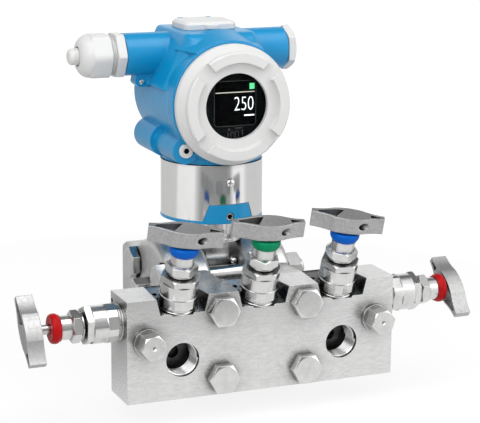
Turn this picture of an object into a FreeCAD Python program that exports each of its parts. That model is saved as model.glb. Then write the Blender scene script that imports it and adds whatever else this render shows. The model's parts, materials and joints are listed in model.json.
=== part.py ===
import FreeCAD, Part
import math
import os
import Sketcher

# Differential pressure transmitter on its five-valve manifold.
# Lengths are millimetres and angles are degrees.
# X runs along the manifold, Y runs from the manifold back to the bracket face, Z is up.
# The origin is the middle of the bracket face, at the height of the measuring cell's axis.

DIMS = {
    # Manifold block
    "block_width": 172.7,
    "block_depth": 29.6,
    "block_height": 62.5,
    "valve_pitch": 51.8,
    "valve_tilt": 18.0,
    "notch_top_width": 33.2,
    "notch_floor_width": 27.8,
    "notch_front_depth": 10.2,
    "seat_reach": 10.5,
    "top_seat_depth": 1.2,
    "spotface_radius": 12.6,
    "pin_radius": 1.5,
    "pin_side": 9.8,
    "pin_back": 12.5,
    "port_height": 24.0,
    "port_radius": 10.4,
    "port_depth": 18.0,
    "gallery_radius": 2.5,
    "gallery_back": 17.8,
    "side_valve_height": 47.0,
    "purge_spacing": 148.0,
    "purge_height": 37.0,
    "purge_thread_radius": 4.9,
    "purge_thread_length": 7.0,
    "purge_collar_radius": 8.6,
    "purge_collar_length": 2.0,
    "purge_flats": 14.0,
    "purge_turn": 10.0,
    "purge_length": 13.5,
    # Process interface between the manifold and the flanges
    "port_spacing": 54.0,
    "bolt_spacing": 41.3,
    "bolt_radius": 4.9,
    "bolt_engagement": 14.0,
    "bracket_hole_radius": 4.25,
    "hole_run_out": 2.0,
    "bolt_flats": 17.0,
    "bolt_head": 6.7,
    "thread_gap": 0.1,
    "gasket_radius": 11.0,
    "gasket_bore": 7.0,
    "gasket_height": 2.5,
    "line_radius": 4.0,
    # Process flanges and measuring cell
    "flange_reach": 56.4,
    "flange_radius": 45.0,
    "flange_inner": 12.7,
    "flange_outer": 42.0,
    "flange_edge": 4.0,
    "boss_width": 27.0,
    "boss_height": 62.0,
    "tie_offset": 25.0,
    "tie_radius": 5.9,
    "tie_flats": 18.0,
    "tie_head": 7.5,
    "tie_nut": 9.0,
    "tie_nut_turn": 4.0,
    "tie_seat": 2.0,
    "tie_seat_radius": 11.0,
    "tie_tail": 3.0,
    "chamber_radius": 25.0,
    "chamber_depth": 2.0,
    "seal_width": 3.0,
    "plug_thread_radius": 6.6,
    "plug_thread_length": 11.0,
    "plug_flats": 14.0,
    "plug_turn": 12.0,
    "plug_head": 6.0,
    "side_plug_height": 12.8,
    "side_plug_head": 11.0,
    "cell_radius": 29.1,
    "cell_neck_width": 15.5,
    "cell_neck_depth": 22.0,
    "cell_neck_top": 43.8,
    "plate_radius": 19.4,
    "plate_height": 2.0,
    "plate_gap": 0.6,
    "diaphragm_thickness": 0.4,
    "sensor_radius": 9.0,
    "sensor_height": 12.0,
    # Neck
    "stem_radius": 13.8,
    "ring_bottom": 59.2,
    "ring_rim": 2.0,
    "ring_hub_radius": 29.6,
    "ring_hub_height": 10.0,
    "tab_height": 12.0,
    "tab_thickness": 10.0,
    "tab_top_angle": 23.4,
    "tab_foot_angle": 30.5,
    "sleeve_radius": 32.45,
    "sleeve_wall": 2.6,
    "sleeve_height": 34.8,
    "sleeve_gap": 0.5,
    "tab_gap": 0.3,
    "tab_screw_height": 4.2,
    "tab_screw_radius": 2.6,
    "button_height": 25.9,
    "button_radius": 2.6,
    "button_proud": 1.3,
    # Head
    "barrel_height": 134.3,
    "barrel_radius": 37.6,
    "barrel_rear_radius": 36.4,
    "barrel_front": 32.2,
    "barrel_rear": 49.0,
    "barrel_wall": 4.5,
    "collar_length": 9.0,
    "cover_thread_radius": 33.0,
    "cavity_radius": 30.6,
    "running_gap": 0.06,
    "shoulder_half": 22.5,
    "shoulder_height": 41.8,
    "shoulder_foot_half": 38.6,
    "shoulder_foot": 8.0,
    "shoulder_front": 24.0,
    "shoulder_rear": 42.0,
    "shoulder_front_round": 12.0,
    "shoulder_side_round": 3.0,
    "shoulder_rear_round": 6.0,
    "brow_radius": 43.6,
    "brow_back": 11.0,
    "brow_length": 19.7,
    "brow_flare": 13.5,
    "brow_half_angle": 42.0,
    "entry_radius": 13.25,
    "entry_reach": 54.0,
    "entry_back": 16.0,
    "entry_height": 26.7,
    "wire_bore": 6.5,
    "wire_bore_drop": 3.1,
    "spigot_radius": 29.5,
    "spigot_length": 9.0,
    "lock_boss_radius": 9.3,
    "lock_boss_side": 28.4,
    "lock_boss_drop": 27.8,
    "lock_boss_rear": 36.0,
    "lock_boss_step": 4.0,
    "lock_boss_inset": 3.0,
    "lock_screw_radius": 4.5,
    "lock_screw_head": 1.6,
    "lock_screw_room": 0.4,
    "lug_stand": 4.9,
    "lug_drop": 3.2,
    "lug_height": 9.6,
    "lug_rise": 10.0,
    "lug_width": 8.6,
    "lug_depth": 9.0,
    "earth_screw_radius": 1.9,
    # Front cover and window
    "cover_rim_radius": 37.2,
    "cover_rim_length": 3.6,
    "cover_face_radius": 33.6,
    "cover_length": 13.4,
    "grip_inner_radius": 27.0,
    "grip_height": 4.0,
    "grip_slot": 9.0,
    "window_radius": 20.3,
    "window_ledge": 3.8,
    "window_thickness": 4.0,
    "cover_skin": 3.0,
    "cover_skirt": 8.4,
    "cover_gap": 0.5,
    "seal_ring_radius": 0.9,
    # Electronics
    "display_radius": 26.0,
    "display_depth": 7.0,
    "display_gap": 0.8,
    "insert_radius": 28.5,
    "insert_depth": 28.0,
    "terminal_width": 34.0,
    "terminal_height": 12.0,
    "terminal_depth": 9.0,
    # Cable entries
    "gland_flats": 27.0,
    "gland_hex_length": 5.6,
    "gland_thread_radius": 9.9,
    "gland_thread_length": 8.0,
    "gland_neck_radius": 10.6,
    "gland_neck_length": 8.4,
    "dome_flats": 26.0,
    "dome_length": 19.0,
    "dome_hex_length": 9.0,
    "dome_mouth_radius": 6.6,
    "blank_pin_radius": 5.2,
    "blank_pin_proud": 6.0,
    "entry_seal": 0.7,
    "blind_flats": 25.0,
    "blind_length": 5.0,
    # Top cap and the two keys under it
    "cap_width": 35.0,
    "cap_depth": 28.0,
    "cap_height": 4.8,
    "cap_wall": 1.8,
    "cap_back": 14.0,
    "cap_corner": 5.0,
    "cap_bevel": 1.6,
    "cap_gap": 0.1,
    "hinge_radius": 1.1,
    "hinge_knuckle_radius": 2.2,
    "hinge_knuckle_half": 7.8,
    "hinge_ear_width": 3.0,
    "hinge_set_back": 2.7,
    "hinge_height": 2.6,
    "latch_width": 8.8,
    "latch_height": 2.4,
    "latch_proud": 0.8,
    "key_radius": 3.2,
    "key_proud": 1.8,
    "key_depth": 3.0,
    "key_spacing": 14.0,
    # Needle valves
    "collar_radius": 10.9,
    "collar_height": 2.8,
    "collar_groove": 0.5,
    "bonnet_flats": 22.0,
    "bonnet_corner": 11.6,
    "bonnet_turn": 13.5,
    "bonnet_hex": 6.8,
    "bonnet_radius": 11.3,
    "bonnet_body": 8.4,
    "bonnet_thread_radius": 8.0,
    "bonnet_thread_length": 12.0,
    "locknut_flats": 21.0,
    "locknut_turn": 53.5,
    "locknut_height": 4.2,
    "locknut_bore": 8.6,
    "gland_nut_flats": 17.0,
    "gland_nut_gap": 0.3,
    "gland_nut_foot": 8.2,
    "gland_nut_height": 8.0,
    "gland_tube_radius": 7.15,
    "gland_tube_length": 10.7,
    "follower_length": 6.0,
    "packing_height": 4.5,
    "packing_radius": 6.0,
    "spindle_radius": 2.9,
    "spindle_thread_radius": 5.0,
    "spindle_thread_length": 5.0,
    "needle_radius": 3.5,
    "needle_length": 12.5,
    "needle_cone": 3.0,
    "valve_lift": 5.0,
    "dust_cap_radius": 9.0,
    "dust_cap_height": 5.6,
    "dust_cap_wall": 1.2,
    "handle_gap": 1.2,
    "handle_height": 10.0,
    "handle_half_length": 22.0,
    "handle_end_half": 2.0,
    "handle_waist": 5.7,
    "handle_waist_at": 8.6,
    "handle_centre_half": 6.9,
    "handle_flank_radius": 34.0,
    "handle_wall": 1.6,
    "handle_pocket_tip": 18.2,
    "handle_pocket_back": 2.0,
    "handle_pocket_front": 7.0,
    "handle_notch_tip": 19.6,
    "handle_notch_foot": 13.6,
    "handle_hole_radius": 2.4,
    "handle_hole_angle": 64.0,
    "spindle_socket": 7.0,
}

VALVES = ("isolate_left", "equalize", "isolate_right", "vent_left", "vent_right")
HANDLE_TURN = {
    "isolate_left": -20.0,
    "equalize": -9.0,
    "isolate_right": -23.0,
    "vent_left": -140.0,
    "vent_right": 130.0,
}
GLAND_NUT_TURN = {
    "isolate_left": 37.0,
    "equalize": 15.0,
    "isolate_right": 28.0,
    "vent_left": 15.0,
    "vent_right": 5.0,
}

doc = FreeCAD.newDocument("transmitter")
sheet = doc.addObject("Spreadsheet::Sheet", "Dims")
for row, (alias, number) in enumerate(DIMS.items(), start=1):
    sheet.set("A%d" % row, alias)
    sheet.set("B%d" % row, str(number))
    sheet.setAlias("B%d" % row, alias)
doc.recompute()


class Size:
    """A number read from the sheet, together with the formula that gives it."""

    def __init__(self, value, formula):
        self.value = float(value)
        self.formula = formula

    def _join(self, other, sign, value):
        other = as_size(other)
        return Size(value(self.value, other.value), "(%s %s %s)" % (self.formula, sign, other.formula))

    def __add__(self, other):
        return self._join(other, "+", lambda a, b: a + b)

    def __sub__(self, other):
        return self._join(other, "-", lambda a, b: a - b)

    def __mul__(self, other):
        return self._join(other, "*", lambda a, b: a * b)

    def __truediv__(self, other):
        return self._join(other, "/", lambda a, b: a / b)

    def __radd__(self, other):
        return as_size(other) + self

    def __rsub__(self, other):
        return as_size(other) - self

    def __rmul__(self, other):
        return as_size(other) * self

    def __neg__(self):
        return Size(-self.value, "(0 - %s)" % self.formula)


def as_size(number):
    if isinstance(number, Size):
        return number
    return Size(number, "(%r)" % number)


def cosine(angle):
    angle = as_size(angle)
    return Size(math.cos(math.radians(angle.value)), "cos(%s)" % angle.formula)


def sine(angle):
    angle = as_size(angle)
    return Size(math.sin(math.radians(angle.value)), "sin(%s)" % angle.formula)


def tangent(angle):
    angle = as_size(angle)
    return Size(math.tan(math.radians(angle.value)), "tan(%s)" % angle.formula)


class Sheet:
    """Each alias of the sheet as a Size."""

    def __getattr__(self, alias):
        return Size(sheet.get(alias), "Dims.%s" % alias)


d = Sheet()
sub_parts = []


def bind(target, path, size):
    """Tie one property of a feature to the sheet."""
    target.setExpression(path, as_size(size).formula)


def keep(thing, label):
    """Name a finished sub-part, which is then written to its own file."""
    thing.Label = label
    sub_parts.append(thing)
    return thing


def origin_plane(body, role):
    for feature in body.Origin.OriginFeatures:
        if feature.Role == role:
            return feature
    raise ValueError(role)


def new_body(name):
    return doc.addObject("PartDesign::Body", name + "_body")


def new_sketch(body, plane, offset=0.0, turn=0.0):
    """A sketch on one of the body's own planes, moved along the plane's normal and turned in it."""
    sketch = body.newObject("Sketcher::SketchObject", body.Name + "_sketch")
    sketch.AttachmentSupport = (origin_plane(body, plane), "")
    sketch.MapMode = "FlatFace"
    sketch.AttachmentOffset = FreeCAD.Placement(
        FreeCAD.Vector(0, 0, as_size(offset).value),
        FreeCAD.Rotation(FreeCAD.Vector(0, 0, 1), as_size(turn).value),
    )
    if isinstance(offset, Size):
        bind(sketch, "AttachmentOffset.Base.z", offset)
    return sketch


def pin_point(sketch, geometry, end, point):
    """Hold one end of a sketch element at a point measured from the sketch's origin."""
    for kind, size in zip(("DistanceX", "DistanceY"), point):
        size = as_size(size)
        index = sketch.addConstraint(Sketcher.Constraint(kind, -1, 1, geometry, end, size.value))
        bind(sketch, "Constraints[%d]" % index, size)


def draw_outline(sketch, points):
    """Draw a closed outline. A point is (across, up) or (across, up, radius).

    A radius makes the side that starts at the point an arc: positive bulges to the right of the
    way round, negative to the left.
    """
    count = len(points)
    plain = [(as_size(p[0]).value, as_size(p[1]).value) for p in points]
    indices = []
    for i, point in enumerate(points):
        start = FreeCAD.Vector(plain[i][0], plain[i][1], 0)
        stop = FreeCAD.Vector(plain[(i + 1) % count][0], plain[(i + 1) % count][1], 0)
        if len(point) == 2:
            indices.append((sketch.addGeometry(Part.LineSegment(start, stop), False), 1, 2))
            continue
        radius = as_size(point[2])
        chord = stop - start
        half = chord.Length / 2
        rise = abs(radius.value) - math.sqrt(max(radius.value ** 2 - half ** 2, 0.0))
        side = FreeCAD.Vector(chord.y, -chord.x, 0).normalize()
        middle = (start + stop) * 0.5 + side * math.copysign(rise, radius.value)
        forward = radius.value > 0
        arc = Part.Arc(start, middle, stop) if forward else Part.Arc(stop, middle, start)
        index = sketch.addGeometry(arc, False)
        indices.append((index, 1, 2) if forward else (index, 2, 1))
        number = sketch.addConstraint(Sketcher.Constraint("Radius", index, abs(radius.value)))
        bind(sketch, "Constraints[%d]" % number, radius if forward else -radius)
    for i, (index, begin, end) in enumerate(indices):
        following = indices[(i + 1) % count]
        sketch.addConstraint(Sketcher.Constraint("Coincident", index, end, following[0], following[1]))
        pin_point(sketch, index, begin, points[i])


def draw_circle(sketch, centre, radius):
    radius = as_size(radius)
    middle = FreeCAD.Vector(as_size(centre[0]).value, as_size(centre[1]).value, 0)
    index = sketch.addGeometry(Part.Circle(middle, FreeCAD.Vector(0, 0, 1), radius.value), False)
    pin_point(sketch, index, 3, centre)
    number = sketch.addConstraint(Sketcher.Constraint("Radius", index, radius.value))
    bind(sketch, "Constraints[%d]" % number, radius)


def hexagon(flats, turn=0.0):
    """The six corners of a hexagon that is given across its flats."""
    corner = flats / math.sqrt(3)
    return [(corner * cosine(turn + 60 * i), corner * sine(turn + 60 * i)) for i in range(6)]


def rounded_box(half_across, half_up, corner, middle_up=0.0):
    """The outline of a rectangle with rounded corners, given by its half sizes."""
    low = middle_up - half_up
    high = middle_up + half_up
    return [
        (-half_across + corner, low),
        (half_across - corner, low, corner),
        (half_across, low + corner),
        (half_across, high - corner, corner),
        (half_across - corner, high),
        (-half_across + corner, high, corner),
        (-half_across, high - corner),
        (-half_across, low + corner, corner),
    ]


def revolve(body, plane, points, axis):
    sketch = new_sketch(body, plane)
    draw_outline(sketch, points)
    feature = body.newObject("PartDesign::Revolution", body.Name + "_revolution")
    feature.Profile = sketch
    feature.ReferenceAxis = (sketch, [axis])
    feature.Angle = 360
    sketch.Visibility = False
    doc.recompute()
    return feature


def pad(body, sketch, length, reverse=False, middle=False):
    feature = body.newObject("PartDesign::Pad", body.Name + "_pad")
    feature.Profile = sketch
    feature.Reversed = reverse
    if middle:
        feature.Midplane = True
    feature.Length = as_size(length).value
    bind(feature, "Length", length)
    doc.recompute()
    return feature


def pocket(body, sketch, length, reverse=False, through=False):
    """Cut a sketch into the body and make sure that the cut took something away."""
    before = body.Shape.Volume
    feature = body.newObject("PartDesign::Pocket", body.Name + "_pocket")
    feature.Profile = sketch
    feature.Reversed = reverse
    if through:
        feature.Type = "ThroughAll"
        feature.Midplane = True
    else:
        feature.Length = as_size(length).value
        bind(feature, "Length", length)
    doc.recompute()
    if not feature.Shape.Volume < before - 1e-6:
        raise ValueError("pocket cuts nothing in " + body.Name)
    return feature


def turned(name, points):
    """A body turned about its own Z axis from a half profile of (radius, height)."""
    body = new_body(name)
    revolve(body, "XZ_Plane", points, "V_Axis")
    return body


def cut_flats(body, flats, bottom, height, turn=0.0, outside=60.0):
    """Mill a hexagon into a stretch of a turned body."""
    sketch = new_sketch(body, "XY_Plane", bottom)
    draw_circle(sketch, (0, 0), outside)
    draw_outline(sketch, hexagon(flats, turn))
    pocket(body, sketch, height, reverse=True)


def cut_round(body, plane, centre, radius, length, offset=0.0, reverse=False):
    sketch = new_sketch(body, plane, offset)
    draw_circle(sketch, centre, radius)
    pocket(body, sketch, length, reverse)


def round_edges(body, radius, wanted, kind="PartDesign::Fillet"):
    """Round or bevel the body's edges that the test picks."""
    names = ["Edge%d" % (i + 1) for i, edge in enumerate(body.Shape.Edges) if wanted(edge)]
    if not names:
        raise ValueError("no edge to round in " + body.Name)
    base = body.Tip
    feature = body.newObject(kind, body.Name + "_edges")
    feature.Base = (base, names)
    path = "Radius" if kind.endswith("Fillet") else "Size"
    setattr(feature, path, as_size(radius).value)
    bind(feature, path, radius)
    body.Tip = feature
    doc.recompute()
    return feature


def frame_at(x, y, z, rotation=None):
    """A place given by three sizes and a rotation."""
    base = FreeCAD.Vector(as_size(x).value, as_size(y).value, as_size(z).value)
    return FreeCAD.Placement(base, rotation or FreeCAD.Rotation())


def about(x, y, z, angle):
    return FreeCAD.Rotation(FreeCAD.Vector(x, y, z), as_size(angle).value)


def group(label, members):
    compound = doc.addObject("Part::Compound", label)
    compound.Links = members
    return keep(compound, label)


# Places that several pieces share
cell_y = -d.flange_reach
block_back = -2 * d.flange_reach
block_front = block_back - d.block_depth
block_bottom = -d.block_height / 2
block_top = d.block_height / 2
barrel_z = d.barrel_height
sleeve_bottom = d.ring_bottom + d.ring_rim
collar_bottom = sleeve_bottom + d.sleeve_height + d.sleeve_gap
lug_side = d.barrel_radius + d.lug_stand
stuffing_mouth = d.collar_height + d.bonnet_hex + d.bonnet_body + d.locknut_height
tube_top = stuffing_mouth + d.gland_nut_gap + d.gland_nut_height + d.gland_tube_length
handle_foot = tube_top + d.dust_cap_wall + d.handle_gap
FRONT = about(1, 0, 0, 90)
LEFT = about(0, 1, 0, -90)
RIGHT = about(0, 1, 0, 90)
BACK = about(1, 0, 0, -90)

# The seats of the top valves lie in the slanted notch floors, each sunk along the tilted axis
floor_front = block_top - d.notch_front_depth
seat_y = block_front + d.seat_reach * cosine(d.valve_tilt) + d.top_seat_depth * sine(d.valve_tilt)
seat_z = floor_front + d.seat_reach * sine(d.valve_tilt) - d.top_seat_depth * cosine(d.valve_tilt)


def valve_frame(name):
    """The seat face of a valve, with its Z axis pointing out of the block."""
    tilt = about(1, 0, 0, d.valve_tilt)
    middle_y = block_front + d.block_depth / 2
    side_z = block_bottom + d.side_valve_height
    frames = {
        "isolate_left": frame_at(-d.valve_pitch, seat_y, seat_z, tilt),
        "equalize": frame_at(0, seat_y, seat_z, tilt),
        "isolate_right": frame_at(d.valve_pitch, seat_y, seat_z, tilt),
        "vent_left": frame_at(-d.block_width / 2, middle_y, side_z, LEFT),
        "vent_right": frame_at(d.block_width / 2, middle_y, side_z, RIGHT),
    }
    return frames[name]


def make_block():
    """The one-piece manifold block with its notches, valve bores, ports and bolt holes."""
    body = new_body("manifold_block")
    half = d.block_width / 2
    outline = new_sketch(body, "XZ_Plane")
    draw_outline(outline, [
        (-half, block_bottom),
        (half, block_bottom),
        (half, block_top),
        (-half, block_top),
    ])
    pad(body, outline, d.block_depth)
    for x in (-d.valve_pitch, as_size(0), d.valve_pitch):
        cut_notch(body, x)
    for x in (-d.port_spacing / 2, d.port_spacing / 2):
        for z in (-d.bolt_spacing / 2, d.bolt_spacing / 2):
            cut_round(body, "XZ_Plane", (x, z), d.bolt_radius + 4 * d.thread_gap, d.block_depth, 0, True)
    port_z = block_bottom + d.port_height
    for x in (-d.valve_pitch, d.valve_pitch):
        cut_round(body, "XZ_Plane", (x, port_z), d.port_radius, d.port_depth, d.block_depth)
        cut_round(body, "XZ_Plane", (x, port_z), d.line_radius, d.port_depth + d.line_radius, d.block_depth)
    purge_z = block_bottom + d.purge_height
    for x in (-d.purge_spacing / 2, d.purge_spacing / 2):
        cut_round(
            body, "XZ_Plane", (x, purge_z), d.purge_thread_radius + d.thread_gap,
            d.purge_thread_length + d.thread_gap, d.block_depth,
        )
    for x in (-d.port_spacing / 2, d.port_spacing / 2):
        cut_round(body, "XZ_Plane", (x, as_size(0)), d.line_radius, d.block_depth / 2, 0, True)
        cut_round(body, "XZ_Plane", (x, as_size(0)), d.gasket_radius, d.gasket_height / 2, 0, True)
    body.Placement = frame_at(0, block_back, 0)
    doc.recompute()
    return body


def cut_notch(body, x):
    """A notch that opens to the front, with slanted walls and a floor square to the valve axis.

    The sketch plane is the front face of the block, tipped back by the valve's tilt, so the notch
    runs out through the top near the back edge.
    """
    slope = d.valve_tilt
    rise = d.block_depth / cosine(slope)
    half_floor = d.notch_floor_width / 2
    half_top = d.notch_top_width / 2
    open_half = half_floor + (half_top - half_floor) * 3
    sketch = body.newObject("Sketcher::SketchObject", body.Name + "_notch")
    sketch.AttachmentSupport = (origin_plane(body, "XZ_Plane"), "")
    sketch.MapMode = "FlatFace"
    sketch.AttachmentOffset = FreeCAD.Placement(
        FreeCAD.Vector(x.value, floor_front.value, d.block_depth.value),
        FreeCAD.Rotation(FreeCAD.Vector(1, 0, 0), slope.value),
    )
    bind(sketch, "AttachmentOffset.Base.x", x)
    bind(sketch, "AttachmentOffset.Base.y", floor_front)
    bind(sketch, "AttachmentOffset.Base.z", d.block_depth)
    draw_outline(sketch, [
        (-half_floor, 0),
        (half_floor, 0),
        (open_half, 3 * d.notch_front_depth),
        (-open_half, 3 * d.notch_front_depth),
    ])
    before = body.Shape.Volume
    feature = body.newObject("PartDesign::Pocket", body.Name + "_notch_cut")
    feature.Profile = sketch
    feature.Midplane = True
    bind(feature, "Length", 2 * rise)
    doc.recompute()
    if not feature.Shape.Volume < before - 1e-6:
        raise ValueError("notch cuts nothing")


def valve_bore(name):
    """The stepped bore of one valve, its round seat face and its lock pin hole, as a tool."""
    tool = turned(name + "_bore", [
        (0, d.notch_front_depth),
        (0, -d.bonnet_thread_length - 14),
        (d.gallery_radius, -d.bonnet_thread_length - 14),
        (d.gallery_radius, -d.bonnet_thread_length - 4),
        (d.needle_radius + 1.2, -d.bonnet_thread_length - 4),
        (d.needle_radius + 1.2, -d.bonnet_thread_length - 0.5),
        (d.bonnet_thread_radius + d.thread_gap, -d.bonnet_thread_length - 0.5),
        (d.bonnet_thread_radius + d.thread_gap, 0),
        (d.spotface_radius, 0),
        (d.spotface_radius, d.notch_front_depth),
    ])
    pin_x = d.pin_side if name == "vent_left" else -d.pin_side
    for reverse, length in ((True, d.bonnet_thread_length / 2), (False, d.top_seat_depth * 2)):
        sketch = new_sketch(tool, "XY_Plane")
        draw_circle(sketch, (pin_x, d.pin_back), d.pin_radius)
        pad(tool, sketch, length, reverse)
    tool.Placement = valve_frame(name)
    return tool


def make_manifold():
    """The block with the valve bores and the cross gallery cut into it."""
    block = make_block()
    tools = [valve_bore(name) for name in VALVES]
    gallery = doc.addObject("Part::Cylinder", "gallery")
    bind(gallery, "Radius", d.gallery_radius)
    bind(gallery, "Height", d.purge_spacing)
    gallery.Placement = frame_at(-d.purge_spacing / 2, block_front + d.gallery_back, 0, RIGHT)
    fused = doc.addObject("Part::MultiFuse", "manifold_tools")
    fused.Shapes = tools + [gallery]
    cut = doc.addObject("Part::Cut", "manifold_block")
    cut.Base = block
    cut.Tool = fused
    doc.recompute()
    keep(cut, "manifold_block")


def hex_bolt(name, shank_radius, length, flats, head, bevel=0.6):
    """A hexagon bolt along Z, its head's seat at zero and its shank below."""
    corner = flats / math.sqrt(3)
    body = turned(name, [
        (0, -length),
        (shank_radius - 0.8, -length),
        (shank_radius, -length + 0.8),
        (shank_radius, 0),
        (corner, 0),
        (corner, head - bevel),
        (flats * 0.46, head),
        (0, head),
    ])
    cut_flats(body, flats, 0, head)
    return body


def make_manifold_fasteners():
    """Four bolts that hold the manifold to the flanges, and the two purge plugs."""
    bolts = []
    length = d.block_depth + d.bolt_engagement
    for x in (-d.port_spacing / 2, d.port_spacing / 2):
        for z in (-d.bolt_spacing / 2, d.bolt_spacing / 2):
            bolt = hex_bolt("manifold_bolt", d.bolt_radius, length, d.bolt_flats, d.bolt_head)
            bolt.Placement = frame_at(x, block_front, z, FRONT)
            bolts.append(bolt)
    group("manifold_bolts", bolts)
    plugs = []
    corner = d.purge_flats / math.sqrt(3)
    for x in (-d.purge_spacing / 2, d.purge_spacing / 2):
        plug = turned("purge_plug", [
            (0, -d.purge_thread_length),
            (d.purge_thread_radius, -d.purge_thread_length),
            (d.purge_thread_radius, 0),
            (d.purge_collar_radius, 0),
            (d.purge_collar_radius, d.purge_collar_length),
            (corner, d.purge_collar_length),
            (corner, d.purge_length - 0.8),
            (corner - 1.2, d.purge_length),
            (1.4, d.purge_length),
            (0, d.purge_length - 1.2),
        ])
        hex_length = d.purge_length - d.purge_collar_length
        cut_flats(plug, d.purge_flats, d.purge_collar_length, hex_length, d.purge_turn)
        plug.Placement = frame_at(x, block_front, block_bottom + d.purge_height, FRONT)
        plugs.append(plug)
    group("purge_plugs", plugs)
    gaskets = []
    for x in (-d.port_spacing / 2, d.port_spacing / 2):
        gasket = turned("process_gasket", [
            (d.gasket_bore, -d.gasket_height / 2),
            (d.gasket_radius - d.thread_gap, -d.gasket_height / 2),
            (d.gasket_radius - d.thread_gap, d.gasket_height / 2),
            (d.gasket_bore, d.gasket_height / 2),
        ])
        gasket.Placement = frame_at(x, block_back, 0, FRONT)
        gaskets.append(gasket)
    group("manifold_gaskets", gaskets)


def make_flange(side, label):
    """A process flange: a thick disc with a boss at the front and one at the back.

    It is turned about the cell axis and lies on the side given by the sign.
    """
    body = new_body(label)
    profile = [
        (0, d.flange_inner),
        (d.flange_radius - d.flange_edge / 2, d.flange_inner),
        (d.flange_radius, d.flange_inner + d.flange_edge / 2),
        (d.flange_radius, d.flange_outer - d.flange_edge, d.flange_edge),
        (d.flange_radius - d.flange_edge, d.flange_outer),
        (0, d.flange_outer),
    ]
    revolve(body, "XZ_Plane", profile, "V_Axis")
    # The disc's axis is Z here, so the bosses stand along X and the pattern's height is along Y.
    middle = d.port_spacing / 2
    outline = new_sketch(body, "YZ_Plane")
    draw_outline(outline, rounded_box(d.boss_height / 2, d.boss_width / 2, d.flange_edge, middle))
    pad(body, outline, 2 * d.flange_reach, middle=True)
    chamber = new_sketch(body, "XY_Plane", d.flange_inner)
    draw_circle(chamber, (0, 0), d.chamber_radius)
    pocket(body, chamber, d.chamber_depth, reverse=True)
    for end in (-1, 1):
        rear = end * side > 0
        depth = d.plug_thread_length + d.thread_gap if rear else d.gasket_height / 2
        radius = d.plug_thread_radius + d.thread_gap if rear else d.gasket_radius
        face = end * d.flange_reach
        cut_round(body, "YZ_Plane", (0, middle), radius, depth, face, end < 0)
        cut_round(body, "YZ_Plane", (0, middle), d.line_radius, d.flange_reach - 20, face, end < 0)
        # The front holes hold the manifold's bolts, the rear ones are tapped for a bracket.
        hole = d.bracket_hole_radius if rear else d.bolt_radius + d.thread_gap
        hole_depth = d.bolt_engagement + d.hole_run_out
        for z in (-d.bolt_spacing / 2, d.bolt_spacing / 2):
            cut_round(body, "YZ_Plane", (z, middle), hole, hole_depth, face, end < 0)
    for a in (-d.tie_offset, d.tie_offset):
        for b in (-d.tie_offset, d.tie_offset):
            cut_round(body, "XY_Plane", (a, b), d.tie_radius + d.thread_gap, d.flange_outer, d.flange_outer)
            cut_round(body, "XY_Plane", (a, b), d.tie_seat_radius, d.tie_seat, d.flange_outer)
    plug_at = (0, d.side_plug_height)
    plug_depth = d.plug_thread_length + d.thread_gap
    cut_round(body, "XY_Plane", plug_at, d.plug_thread_radius + d.thread_gap, plug_depth, d.flange_outer)
    centre = (0, as_size(0))
    inlet = d.flange_outer / 3
    cut_round(body, "XY_Plane", centre, d.line_radius, inlet, d.flange_inner + inlet)
    plate_cut = d.plate_radius + d.plate_gap
    cut_round(body, "XZ_Plane", centre, plate_cut, d.plate_height * 2, d.plate_gap - d.cell_neck_top)
    # Z goes outward to the side, X to the back for the bosses, and Y stays up.
    out = FreeCAD.Vector(side, 0, 0)
    up = FreeCAD.Vector(0, 0, 1)
    back = up.cross(out)
    turn = FreeCAD.Rotation(back, up, out, "ZYX")
    body.Placement = frame_at(0, cell_y, 0, turn)
    return keep(body, label)


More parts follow.
